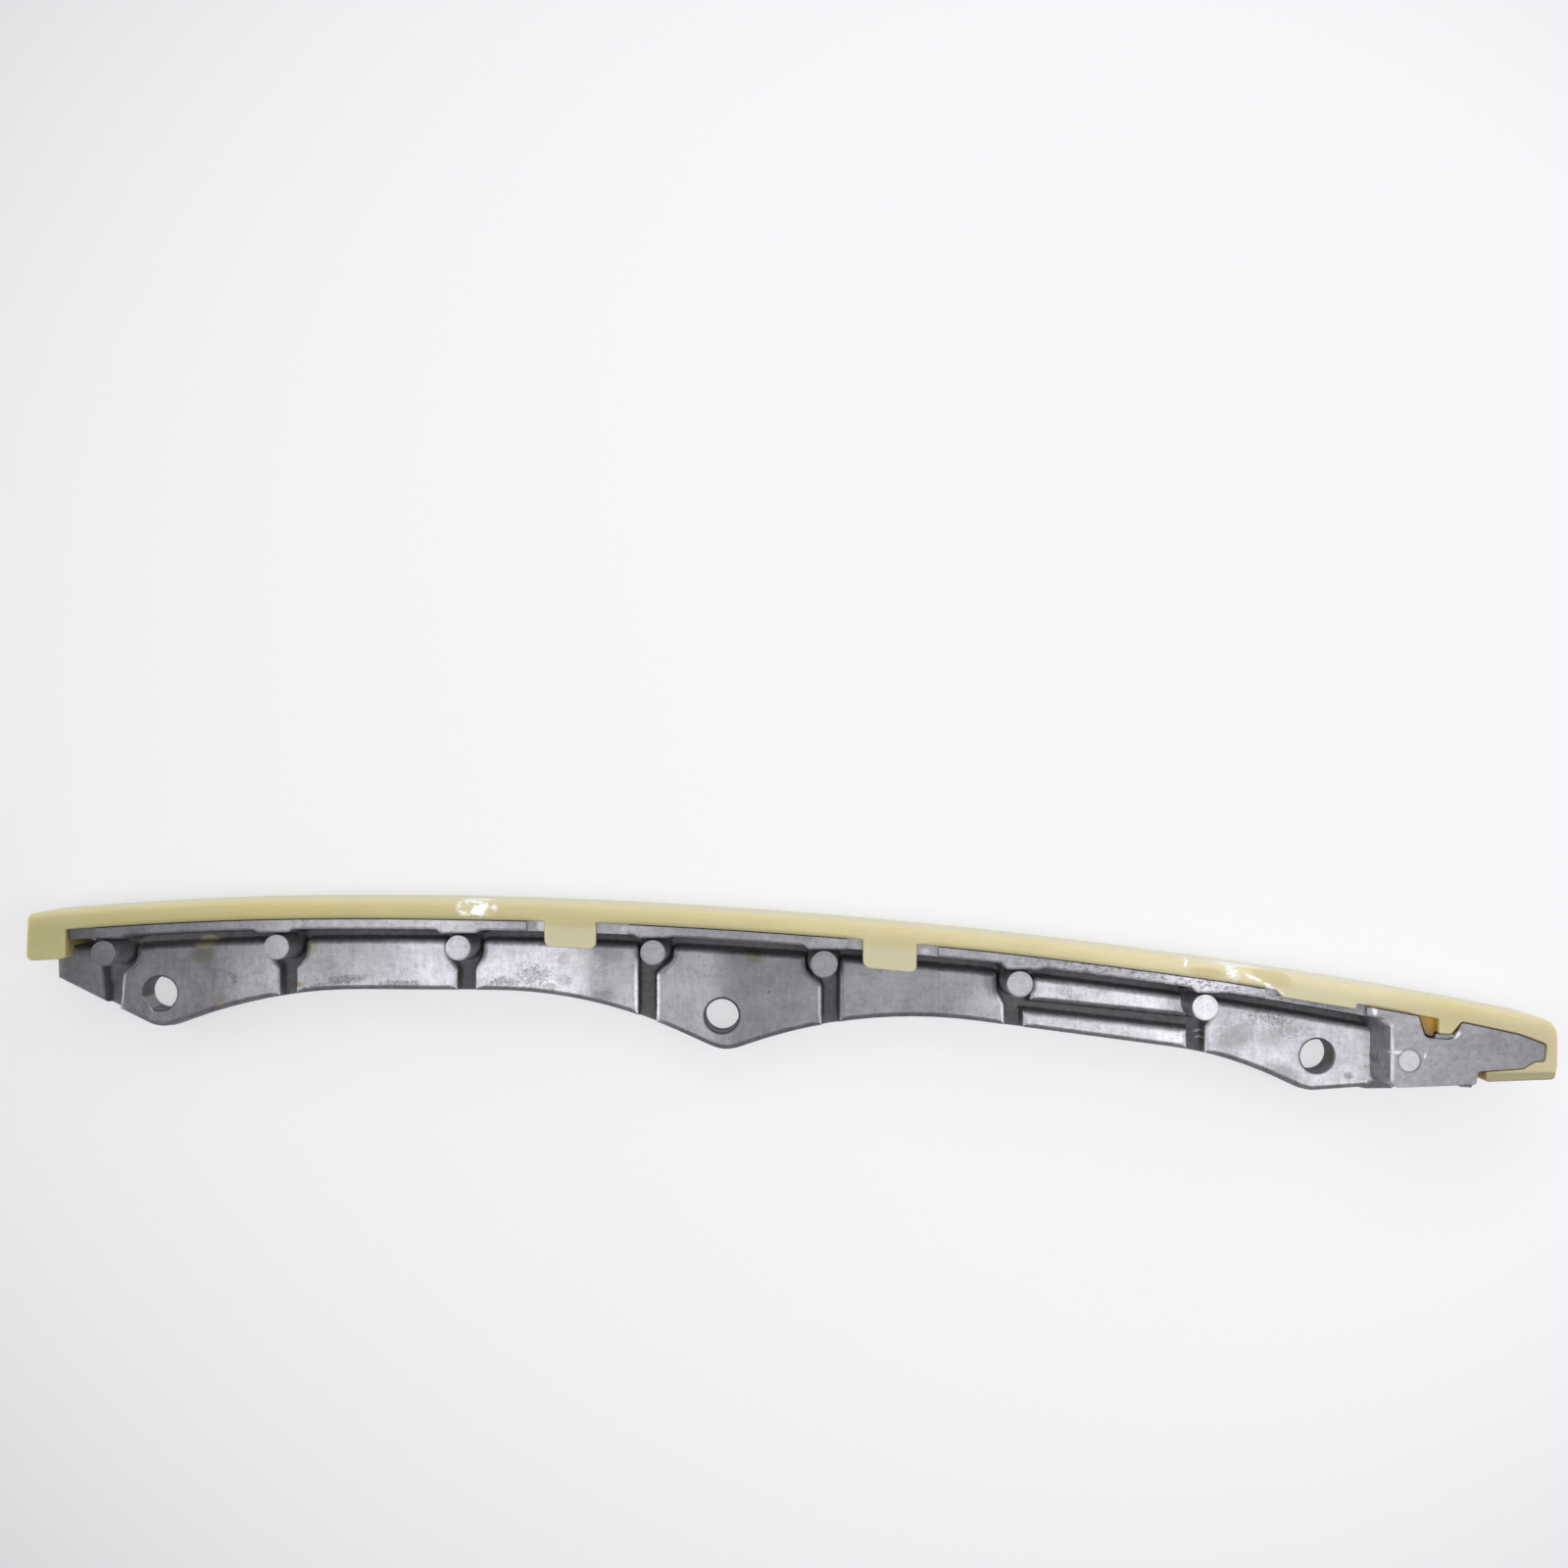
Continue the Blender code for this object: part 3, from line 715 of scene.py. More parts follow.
@dataclass
class CastBracket:
    """The casting: web with panels and grooves, flange with saddles, bosses, end block and tongue."""

    drawing: GuideDrawing
    block: EndBlock
    floor_z: float = 3.4
    panel_z: float = 7.6
    flange_back_z: float = 1.4
    flange_front_z: float = 17.6
    boss_z: float = 17.35
    root_z: float = 2.4
    root_radius: float = 0.7
    panel_rim: float = 1.0
    flange_rim: float = 0.45
    tight_edge: float = 0.3
    corner_room: float = 1.7
    flange_left: float = -146.2
    flange_draft: float = 0.8
    panel_draft: float = 0.25
    ledge: float = 0.06
    outline_step: float = 1.2
    band_step: float = 2.0
    notch_step_depth: float = 0.9
    notch_slant: tuple[float, float] = (2.3, 5.1)
    first_groove_lean: float = 0.5
    hole_radius: float = 3.5
    holes: tuple[Point, ...] = ((-130.5, -43.8), (-13.0, -48.5), (111.5, -56.9))
    web_left_top: Point = (-152.1, -33.8)
    lower_corners: tuple[Corner, ...] = (
        (-152.3, -40.3, 1.2), (-130.4, -51.3, 7.0), (-107.2, -42.85, 105.0),
        (-40.8, -43.25, 95.0), (-12.3, -56.1, 7.5), (15.7, -46.3, 105.0),
        (93.0, -56.55, 79.0), (109.5, -64.2, 6.0), (128.0, -62.9, 0.0),
    )
    slot_panel: int = 6
    slot_upper: Point = (-45.1, -48.6)
    slot_lower: Point = (-47.4, -51.3)
    bosses: tuple[Boss, ...] = (
        Boss(-139.1, 5.35, 2.6, (1.6, 3.4), (-142.4, -138.5)),
        Boss(-103.7, 5.65, 2.6, (3.6, 2.2), (-105.5, -102.1)),
        Boss(-66.6, 5.75, 2.6, (3.4, 3.4), (-68.4, -64.6)),
        Boss(-26.8, 5.5, 2.6, (2.8, 2.8), (-30.5, -26.7)),
        Boss(8.2, 5.6, 2.8, (3.2, 3.8), (7.9, 11.6)),
        Boss(48.2, 5.9, 2.7, (2.6, 3.8), (46.1, 50.0)),
        Boss(86.1, 5.75, 2.7, (1.7, 3.9), (84.3, 88.1), (1.9, 3.65)),
    )

    def centre_of(self, boss: Boss) -> Point:
        """Centre of a boss on the drawing."""
        return boss.x, self.drawing.seat(boss.x) - boss.drop

    def silhouette(self) -> list[Point]:
        """Lower outline of the web from left to right."""
        return rounded(self.lower_corners, closed=False)

    def lower_edge(self, left: float, right: float) -> list[Point]:
        """Points of the web's lower outline between two places."""
        xs, ys = zip(*self.silhouette())
        return [(x, float(np.interp(x, xs, ys))) for x in stations(left, right, self.outline_step)]

    def groove_share(self, x: float, y: float) -> float:
        """Share of the root's flare: none along the web's lower and left outline, all of it inside.

        Args:
            x: place along the guide.
            y: height in the drawing.

        Returns:
            The share, from 0 to 1.
        """
        xs, ys = zip(*self.silhouette())
        inside = min(y - float(np.interp(x, xs, ys)), x - self.web_left_top[0])
        return min(1.0, max(0.0, (inside - 0.2) / 1.6))

    def flange_underside(self, draft: float) -> list[Corner]:
        """Lower edge of the flange from right to left, with a saddle over each boss.

        Args:
            draft: how far the edge stands out from its front place.

        Returns:
            Corners of the edge.
        """
        drawing, block = self.drawing, self.block
        right = block.left - block.draft * draft / self.flange_draft
        corners = [(right, drawing.flange_edge(right) - draft, block.round_top)]
        start = block.left - block.draft - block.round_top - 1.0
        for boss in reversed(self.bosses):
            x, y = self.centre_of(boss)
            to_left, to_right = boss.saddle
            corners += drawing.along(drawing.flange_edge, start, x + to_right + 1.2, draft)
            for end in (x + to_right, x - to_left):
                step = drawing.flange_edge(end) - y - 3.0
                corners.append((end, y + 3.0 - draft, 0.8 if step > 0.5 else 0.0))
            start = x - to_left - 1.2
        return corners + drawing.along(drawing.flange_edge, start, self.flange_left, draft)

    def frame_outline(self, draft: float) -> list[Point]:
        """Flange, end block and tongue as one outline, wider by the draft at its lower sides.

        Args:
            draft: distance that the lower sides move out.

        Returns:
            Points of the outline.
        """
        drawing, block = self.drawing, self.block
        corners = self.flange_underside(draft)
        corners += drawing.along(drawing.seat, self.flange_left, block.notch_left - 2.0)
        corners.append((block.notch_left, drawing.seat(block.notch_left), 0.5))
        corners += [*block.notch, *block.tongue]
        corners += block.outline(block.draft * draft / self.flange_draft)
        return rounded(corners[::-1])

    def frame_share(self, x: float, y: float) -> float:
        """Share of the root's flare on the flange: where it faces the channel and the last panel.

        Args:
            x: place along the guide.
            y: height in the drawing.

        Returns:
            The share, from 0 to 1.
        """
        drawing = self.drawing
        if x > self.block.left + 0.5 or y > drawing.flange_edge(x) + 0.6:
            return 0.0
        return min(1.0, max(0.0, (x - self.flange_left) / 2.0), max(0.0, (y + 61.5) / 2.0))

    def frame(self) -> Piece:
        """Flange, end block and tongue.

        Returns:
            The new object.
        """
        rings = foot_rings(self.flange_back_z, 0.25)
        rings += root_rings(self.floor_z, self.root_radius)
        rings += [
            Ring(ring.z, ring.grow * self.tight_edge, ring.grow * (1.0 - self.tight_edge))
            for ring in rim_rings(self.flange_front_z, self.flange_rim)
        ]
        narrow, wide = self.frame_outline(0.0), self.frame_outline(self.flange_draft)
        return solid("frame", [Form(narrow, rings, wide, self.frame_share)])

    def floor(self) -> Piece:
        """The floor of the web, which all the grooves share.

        Returns:
            The new object.
        """
        drawing, block = self.drawing, self.block
        left = self.flange_left + 1.0
        lower = [point for point in self.silhouette() if point[0] < block.left] + block.wall_foot()
        upper = [(x, drawing.seat(x) - 1.2) for x in stations(lower[-1][0], left, 2.0)]
        outline = lower + upper + [(left, self.web_left_top[1]), self.web_left_top]
        outline = dense(outline, 2.0)
        grow = self.panel_draft + self.ledge
        rings = [Ring(r.z, r.grow + grow) for r in foot_rings(0.0, 0.3)] + [Ring(self.floor_z, grow)]
        return solid("web", [Form(outline, rings)])

    def panel_side(self, boss: Boss, wall: float, side: float) -> list[Corner]:
        """Side of a panel beside a boss.

        Args:
            boss: the boss that the side passes.
            wall: place of the groove's wall below the boss.
            side: 1 for the panel right of the boss, -1 for the one left of it.

        Returns:
            Corners from the wall's lower end to the panel's top, notched round the boss.
        """
        x, y = self.centre_of(boss)
        to_left, to_right = boss.notches
        reach = x + to_right if side > 0.0 else x - to_left
        if side * (reach - wall) < 0.5:
            return [(wall, self.drawing.panel_top(wall), 1.0)]
        high, low = self.notch_slant
        return [
            (wall, y - low, 1.5),
            (reach, y - high, 2.5),
            (reach, self.drawing.panel_top(reach), 1.0),
        ]

    def panel_outline(self, index: int) -> list[Point]:
        """Outline of the panel right of a boss.

        Args:
            index: number of the panel, where the boss left of it has the number before.

        Returns:
            The counter-clockwise outline of its front.
        """
        drawing = self.drawing
        before = self.bosses[index - 1]
        last = index == len(self.bosses)
        left = before.groove[1]
        right = self.block.left - drawing.clearance if last else self.bosses[index].groove[0]
        lean = self.first_groove_lean if index == 1 else 0.0
        corners = [(x, y, 0.0) for x, y in self.lower_edge(left - lean, right)]
        if last:
            corners.append((right, drawing.panel_top(right), 0.0))
        else:
            corners += self.panel_side(self.bosses[index], right, -1.0)
        left_side = self.panel_side(before, left, 1.0)
        corners += drawing.along(drawing.panel_top, corners[-1][0], left_side[-1][0])[1:-1]
        return rounded(corners + left_side[::-1])

    def end_panel(self) -> list[Point]:
        """Outline of the panel left of all the grooves.

        Returns:
            Points of the outline.
        """
        right = self.bosses[0].groove[0]
        lower = self.lower_edge(self.lower_corners[0][0] + 0.4, right + self.first_groove_lean)
        return lower + [(right - self.first_groove_lean, self.web_left_top[1]), self.web_left_top]

    def slotted_panel(self) -> list[list[Point]]:
        """Outlines of the two strips above and below the long slot.

        Returns:
            The upper and the lower outline.
        """
        left, right = self.bosses[self.slot_panel - 1].groove[1], self.bosses[self.slot_panel].groove[0]
        lower = self.lower_edge(left, right) + [(right, self.slot_lower[1]), (left, self.slot_lower[0])]
        upper = []
        for x, y in self.panel_outline(self.slot_panel):
            if y > np.interp(x, (left, right), self.slot_upper) + self.ledge:
                upper.append((x, y))
        first = next(i for i, point in enumerate(upper) if point[0] > (left + right) / 2.0)
        upper = upper[first:] + upper[:first]
        ends = [upper[-1][0], upper[0][0]]
        return [[(x, float(np.interp(x, (left, right), self.slot_upper))) for x in ends] + upper, lower]

    def panels(self) -> Piece:
        """The raised panels of the web, with hollow roots and rounded rims.

        Returns:
            All the panels as one object.
        """
        whole = [i for i in range(1, len(self.bosses) + 1) if i != self.slot_panel]
        outlines = [self.end_panel(), *map(self.panel_outline, whole), *self.slotted_panel()]
        rings = [Ring(self.root_z)] + root_rings(self.floor_z, self.root_radius)
        rings += rim_rings(self.panel_z, self.panel_rim)
        forms = []
        for outline in outlines:
            narrow = clear_of_corners(dense(outline, self.outline_step), self.panel_rim * self.corner_room)
            edge = np.array(narrow)
            wide = [tuple(point) for point in edge + mitres(edge) * self.panel_draft]
            forms.append(Form(narrow, rings, wide, self.groove_share))
        return solid("panels", forms)

    def wall_foot(self) -> Piece:
        """The low ledge below the end wall.

        Returns:
            The new object.
        """
        lower, top = self.block.wall_foot(), self.block.foot_top
        outline = dense(lower + [(lower[-1][0], top), (lower[0][0], top)], 0.8)
        rings = [Ring(self.root_z)] + rim_rings(self.block.foot_z, 0.5)
        return solid("wall_foot", [Form(outline, rings)])

    def notch_step(self) -> Piece:
        """The step at the bottom of the notch, below the slipper's peg."""
        low, high = self.root_z + 0.5, self.flange_front_z - self.notch_step_depth
        return solid("notch_step", [prism(self.block.notch_step, low, high)])

    def flash(self) -> Piece:
        """Thin flash left by the mould: two lines on the end block and a sliver of the gate below it.

        Returns:
            The new object.
        """
        z = self.flange_front_z
        line_rings = [Ring(z - 0.8), Ring(z + 0.1), Ring(z + 0.2, -0.08)]
        gate_rings = [Ring(z - 5.0), Ring(z - 1.6), Ring(z - 1.2, -0.2)]
        forms = [Form(line, line_rings) for line in self.block.flash_lines]
        return solid("flash", [*forms, Form(self.block.gate, gate_rings)])

    def foot(self) -> Piece:
        """Foot of the end block, flush with the mounting face.

        Returns:
            The new object.
        """
        drawing, block, inset = self.drawing, self.block, 0.7
        left, right = block.left + inset, block.step[1] - inset
        beside, notch_y = block.notch_left - inset, block.notch[1][1] - 1.0
        _, y_right, y_left, y_chamfer = block.lower
        outline = [(x, drawing.seat(x) - inset) for x in (beside, left)]
        outline += [(left, y_chamfer), (left + block.chamfer, y_left + 0.25), (right, y_right + 0.25)]
        outline += [(right, notch_y), (beside, notch_y)]
        return solid("foot", [prism(outline, 0.0, self.root_z + 1.0)])

    def boss_row(self, look: Finish) -> Piece:
        """The seven bosses, each a tapered post with a pin mark on its head.

        Args:
            look: finish of the bosses.

        Returns:
            All the bosses as one object.
        """
        draft, rim, unit, root, sides = 0.6, 0.3, 2.6, 0.7, 48
        top, bottom = self.boss_z, self.boss_z - 0.06
        profile: list[Point] = [(0.0, self.root_z), (unit + draft + root, self.root_z)]
        for ring in root_rings(self.floor_z, root):
            lean = draft * (top - ring.z) / (top - self.floor_z)
            profile.append((unit + lean + ring.flare, ring.z))
        profile += [(unit + ring.grow, ring.z) for ring in rim_rings(top, rim)]
        profile += [(unit - 0.52, top), (unit - 0.6, bottom), (0.0, bottom)]
        post = turned("boss", profile, sides)
        places = [self.centre_of(boss) for boss in self.bosses]
        widths = [boss.radius / unit for boss in self.bosses]
        return CopiesOnPoints("boss_row").set_out(post, places, widths, look)

    def bolt_holes(self, look: Finish) -> Piece:
        """Cutters of the three bolt holes, with a small break at both faces.

        Args:
            look: finish of the bores.

        Returns:
            The cutters as one object.
        """
        radius, seat, sides = self.hole_radius, self.panel_z, 72
        back = [(0.0, -1.0), (radius + 1.2, -1.0), (radius, 0.2)]
        edge = [(radius, seat - 0.3), (radius + 0.12, seat - 0.1), (radius + 0.32, seat)]
        above = [(radius + 1.7, seat + 1.0), (0.0, seat + 1.0)]
        drill = turned("drill", back + edge + above, sides)
        return CopiesOnPoints("bolt_holes").set_out(drill, self.holes, [1.0] * len(self.holes), look)

    def band(self, left: float, right: float, drop: float, low: float, high: float) -> Form:
        """A form that follows the flange from above its top to a drop below it.

        Args:
            left: left end of the form.
            right: right end of the form.
            drop: distance from the flange's top to its lower side.
            low: depth of its back.
            high: depth of its front.

        Returns:
            The form.
        """
        seat = self.drawing.seat
        lower = [(x, seat(x) - drop) for x in stations(left, right, self.band_step)]
        upper = [(x, seat(x) + 1.0) for x in stations(right, left, self.band_step)]
        return prism(lower + upper, low, high)

    def pockets(self) -> Piece:
        """Cutters of the shallow pockets in the front of the flange.

        Returns:
            The cutters as one object.
        """
        spans = [(self.flange_left - 1.0, self.flange_left + 5.4)]
        spans += [(clip.left - clip.pocket[0], clip.right + clip.pocket[1]) for clip in CLIPS]
        spans.append((KEY_LUG[0] - 2.3, KEY_LUG[1] + 2.1))
        low, high = self.flange_front_z - 1.0, self.flange_front_z + 1.0
        drop = self.drawing.flange_thick + 0.65
        return solid("pockets", [self.band(left, right, drop, low, high) for left, right in spans])

    def reliefs(self) -> Piece:
        """Cutters of the reliefs behind the web for the rear halves of the clips.

        Returns:
            The cutters as one object.
        """
        room = 0.6
        spans = [(clip.left - room, clip.right + room, clip.drop + room) for clip in CLIPS]
        return solid("reliefs", [self.band(*span, -1.0, self.root_z) for span in spans])

    def pin_mark(self) -> Piece:
        """Cutter of the ring round an ejector pin's place on the end block."""
        profile = [(radius, self.flange_front_z + height) for radius, height in self.block.pin_ring]
        return turned("pin_mark", profile, 48, ring=True, centre=placed(*self.block.pin, 0.0)[:2])

    def build(self, look: Finish) -> Piece:
        """Models the casting and dresses it.

        Args:
            look: the casting's material.

        Returns:
            The finished piece.
        """
        bracket = self.floor()
        bracket.name = "bracket_casting"
        plain = [self.frame(), self.foot(), self.wall_foot(), self.panels()]
        combine(bracket, [*plain, self.boss_row(look), self.notch_step()], Join.ADD)
        cut = [self.bolt_holes(look), self.pockets(), self.reliefs(), self.pin_mark()]
        combine(bracket, cut, Join.CUT)
        combine(bracket, [self.flash()], Join.ADD)
        finish_surface(bracket, look)
        return bracket


@dataclass
class NylonSlipper:
    """The nylon slipper: running strip, end hooks, clips, key lug and peg."""

    drawing: GuideDrawing
    block: EndBlock
    back: float = 0.9
    front: float = 18.1
    rim: float = 0.3
    soft_rim: float = 0.55
    left: float = -154.6
    right: float = 157.8
    inner_left: float = -146.5
    hook_bottom: float = -35.8
    hook_depth: float = 5.0
    hook_rear_bottom: float = -33.2
    tip_radius: float = 4.0
    arm_left: float = 143.2
    arm_bottom: Point = (-60.8, -60.3)
    peg: tuple[Point, Point] = ((133.5, -51.0), (136.1, -51.1))
    clip_thick: float = 1.2
    barb_depth: float = 1.6
    sag: float = 0.2
    snug: float = 0.06
    zone_step: float = 2.0
    web_points: tuple[Point, ...] = (
        (130.6, -48.5), (131.4, -51.0), (132.1, -51.55), (133.0, -51.65), (133.15, -50.95),
    )
    web_depths: Point = (0.5, 2.3)

    def underside(self, x: float) -> float:
        """Lower face of the strip, which sags a little towards the flange."""
        return self.drawing.underside(x) - self.sag

    def clip_corners(self, clip: Clip) -> list[Corner]:
        """The part of the outline that runs round one clip.

        Args:
            clip: the clip that they run round.

        Returns:
            The corners with their radii.
        """
        drawing = self.drawing
        return [
            (clip.left, self.underside(clip.left), 0.3),
            (clip.left, drawing.seat(clip.left) - clip.drop + 0.15, 1.7),
            (clip.right, drawing.seat(clip.right) - clip.drop, 1.4),
            (clip.right, self.underside(clip.right), 0.3),
        ]

    def lug_corners(self) -> list[Corner]:
        """The part of the outline that runs round the key lug.

        Returns:
            The corners with their radii.
        """
        low = self.underside
        left, right = KEY_LUG
        return [
            (left, low(left), 0.3),
            (left + 1.1, low(left + 1.1) - 1.3, 0.5),
            (right - 0.3, low(right - 0.3) - 1.1, 0.5),
            (right, low(right), 0.2),
        ]

    def tongue_corners(self) -> list[Corner]:
        """Inner side of the right hook, a clearance outside the tongue, down to the arm's end.

        Returns:
            The corners with their radii.
        """
        gap = self.snug
        path = [self.block.notch[-1], *self.block.tongue, self.block.outline(0.0)[0]]
        moved = []
        for before, at, after in zip(path, path[1:], path[2:]):
            x, y = shifted(before[:2], at[:2], after[:2], -gap)
            moved.append((x, y, at[2] + gap / 2.0))
        last, end = moved[-1], path[-1]
        share = (self.arm_left - last[0]) / (end[0] - last[0])
        return moved + [(self.arm_left, last[1] + (end[1] - gap - last[1]) * share, 0.5)]

    def outline(self) -> list[Point]:
        """Front view of the slipper with its clips and its lug, counter-clockwise.

        Returns:
            Points of the outline.
        """
        drawing = self.drawing
        low, inner = self.underside, self.inner_left
        corners: list[Corner] = [
            (self.left, self.hook_bottom - 0.3, 1.3),
            (self.left + 6.6, self.hook_bottom, 0.6),
            (inner, self.hook_bottom + 0.4, 0.5),
            (inner, low(inner), 0.4),
        ]
        start = inner + 1.0
        for clip in CLIPS:
            corners += drawing.along(low, start, clip.left - 0.6)
            corners += self.clip_corners(clip)
            start = clip.right + 0.6
        corners += drawing.along(low, start, KEY_LUG[0] - 0.6)
        corners += self.lug_corners()
        corners += drawing.along(low, KEY_LUG[1] + 0.6, self.block.notch_left - 1.0)
        corners.append((self.peg[0][0], low(self.peg[0][0]), 0.5))
        corners += [(x, y, 0.5) for x, y in self.peg]
        corners += self.tongue_corners()
        corners += [
            (self.arm_left, self.arm_bottom[0], 0.5),
            (self.right - 0.6, self.arm_bottom[1], 1.0),
            (self.right, self.arm_bottom[1] + 3.0, 0.0),
            (self.right, drawing.running(self.right), self.tip_radius),
        ]
        corners += drawing.along(drawing.running, self.right - self.tip_radius - 3.0, self.left + 2.5)
        corners.append((self.left + 0.4, drawing.running(self.left + 0.4), 1.3))
        return rounded(corners)

    def strip_share(self, x: float, y: float) -> float:
        """Share of the softer rim: all on the plain strip, none at the clips, lug, hooks and peg.

        Args:
            x: place along the guide.
            y: height in the drawing.

        Returns:
            The share, from 0 to 1.
        """
        spans = [(self.left - 9.0, self.inner_left + 2.0), (KEY_LUG[0] - 1.0, KEY_LUG[1] + 1.0)]
        spans += [(clip.left - 1.0, clip.right + 1.0) for clip in CLIPS]
        spans.append((self.block.notch_left - 1.0, self.right + 9.0))
        on_face = self.left + 3.0 < x < self.right - self.tip_radius - 2.0
        if on_face and y > self.drawing.running(x) - 1.0:
            return 1.0
        away = min(max(low - x, x - high) for low, high in spans)
        return min(1.0, max(0.0, away / 2.0))

    def body(self) -> Piece:
        """The slipper before anything is cut from it, in its full width.

        Returns:
            The new object.
        """
        height = self.rim + 0.25
        rings = foot_rings(self.back, 0.35, 3)
        for c, s in quarter(6):
            inset = c - 1.0
            rings.append(Ring(self.front - height * (1.0 - s), self.rim * inset, self.soft_rim * inset))
        return solid("slipper_nylon", [Form(self.outline(), rings, flare=self.strip_share)])

    def gaps(self) -> Piece:
        """Cutters that leave the clips, the lug and the left hook only as thick as they are.

        Returns:
            The cutters as one object.
        """
        drawing = self.drawing
        inside = self.front - self.clip_thick
        zones = [(c.left - 0.5, c.right + 0.5, c.drop + 1.0, self.back + self.clip_thick) for c in CLIPS]
        zones.append((KEY_LUG[0] - 0.3, KEY_LUG[1] + 0.3, 3.0, self.back - 1.0))
        forms = []
        for left, right, drop, low in zones:
            lower = [(x, drawing.seat(x) - drop) for x in stations(left, right, self.zone_step)]
            upper = [(x, self.underside(x) - 0.05) for x in stations(right, left, self.zone_step)]
            forms.append(prism(lower + upper, low, inside))
        left, right = self.left - 1.0, self.inner_left + 1.3
        low, high = self.hook_bottom - 2.0, self.hook_rear_bottom
        hook = [(left, low), (right, low), (right, high), (left, high)]
        forms.append(prism(hook, self.back - 1.0, self.front - self.hook_depth))
        return solid("gaps", forms)

    def barbs(self) -> Piece:
        """A wedge behind each front clip, which catches under the flange.

        Returns:
            All the wedges as one object.
        """
        drawing = self.drawing
        inside = self.front - self.clip_thick
        forms = []
        for clip in CLIPS:
            left, right = clip.left + 0.8, clip.right - 0.8
            middle = (left + right) / 2.0
            high = drawing.flange_edge(middle) - 0.8 - drawing.clearance
            low = drawing.seat(middle) - clip.drop + 0.5
            wide = [(left, low), (right, low), (right, high), (left, high)]
            thin = [(left, high - 0.7), (right, high - 0.7), (right, high), (left, high)]
            forms.append(Form(wide, [Ring(inside - self.barb_depth), Ring(inside + 0.3)], thin))
        return solid("barbs", forms)

    def peg_web(self) -> Piece:
        """The web behind the peg's front, which fills the left side of the notch.

        Returns:
            The new object.
        """
        left, right = self.block.notch_left + 0.3, self.peg[0][0] + 0.3
        start, end = ((x, self.underside(x) + 0.5) for x in (left, right))
        behind, before = self.web_depths
        outline = [start, *self.web_points, (right, self.peg[0][1] + 0.5), end]
        return solid("peg_web", [prism(outline, self.back + behind, self.front - before)])

    def build(self, look: Finish) -> Piece:
        """Models the slipper and dresses it.

        Args:
            look: the slipper's material.

        Returns:
            The finished piece.
        """
        slipper = self.body()
        combine(slipper, [self.gaps()], Join.CUT)
        combine(slipper, [self.barbs(), self.peg_web()], Join.ADD)
        finish_surface(slipper, look)
        return slipper


# Shader graphs

Operand = Union["Value", float]
Source = Union["Value", Socket, float, Sequence[float]]


def arithmetic(operation: str, swapped: bool = False) -> Callable[["Value", Operand], "Value"]:
    """An arithmetic method of Value, which adds one Math node.

    Args:
        operation: the node's operation.
        swapped: whether the other number comes first.

    Returns:
        The method.
    """
    def method(one: "Value", other: Operand) -> "Value":
        """The result of the operation on the two."""
        return one.maths(operation, *((other, one) if swapped else (one, other)))

    return method


class Value:
    """A number that varies over a surface, written with ordinary arithmetic."""

    def __init__(self, graph: "ShaderGraph", socket: Socket) -> None:
        """Wraps an output socket of a graph."""
        self.graph = graph
        self.socket = socket

    def maths(self, operation: str, *operands: Operand) -> "Value":
        """A Math node on some operands, in their order."""
        node = self.graph.node("ShaderNodeMath", {"operation": operation}, dict(enumerate(operands)))
        return Value(self.graph, node.outputs[0])

    __add__ = arithmetic("ADD")
    __radd__ = arithmetic("ADD", swapped=True)
    __sub__ = arithmetic("SUBTRACT")
    __rsub__ = arithmetic("SUBTRACT", swapped=True)
    __mul__ = arithmetic("MULTIPLY")
    __rmul__ = arithmetic("MULTIPLY", swapped=True)
    highest = arithmetic("MAXIMUM")

    def rise(self, low: float, high: float) -> "Value":
        """0 below low, 1 above high, and a smooth rise between them.

        Args:
            low: where the rise starts.
            high: where the rise ends.

        Returns:
            The share, from 0 to 1.
        """
        node = self.graph.node(
            "ShaderNodeMapRange",
            {"interpolation_type": "SMOOTHSTEP"},
            {0: self, 1: low, 2: high, 3: 0.0, 4: 1.0},
        )
        return Value(self.graph, node.outputs[0])

    def fall(self, low: float, high: float) -> "Value":
        """1 below low, 0 above high, and a smooth fall between them."""
        return 1.0 - self.rise(low, high)

    def within(self, low: float, high: float, soft: float = 0.3) -> "Value":
        """1 between the limits, and a smooth fall to 0 outside them."""
        return self.rise(low - soft, low) * self.fall(high, high + soft)


def below_running(drawing: GuideDrawing, x: Value, y: Value, unit: float = 156.0) -> Value:
    """How far a place lies below the running face.

    Args:
        drawing: the drawing of the guide.
        x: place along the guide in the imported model's frame.
        y: place across it.
        unit: length that the polynomial of the running face takes as 1.

    Returns:
        The distance in millimetres.
    """
    t = x * (1.0 / unit)
    first, *others = drawing.running_polynomial(unit)
    height: Operand = first
    for coefficient in others:
        height = t * height + coefficient
    return height - y


@dataclass(frozen=True)
class Pattern:
    """Fractal noise: its scale per millimetre, detail, roughness and stretch."""

    scale: float
    detail: float
    rough: float
    stretch: Union[Colour, None] = None


@dataclass(frozen=True)
class Spot:
    """A mark on a surface, at a place of the drawing."""

    x: float
    y: float
    half_length: float
    half_height: float
    strength: float = 1.0
    soft: float = 0.35
    ragged: float = 1.0
    turn: float = 0.0
    hollow: float = 0.0


@dataclass(frozen=True)
class Reading:
    """What a finish reads: the place, the way the surface faces, the depth below the running face."""

    place: Socket
    x: Value
    y: Value
    z: Value
    aside: Value
    across: Value
    up: Value
    depth: Value


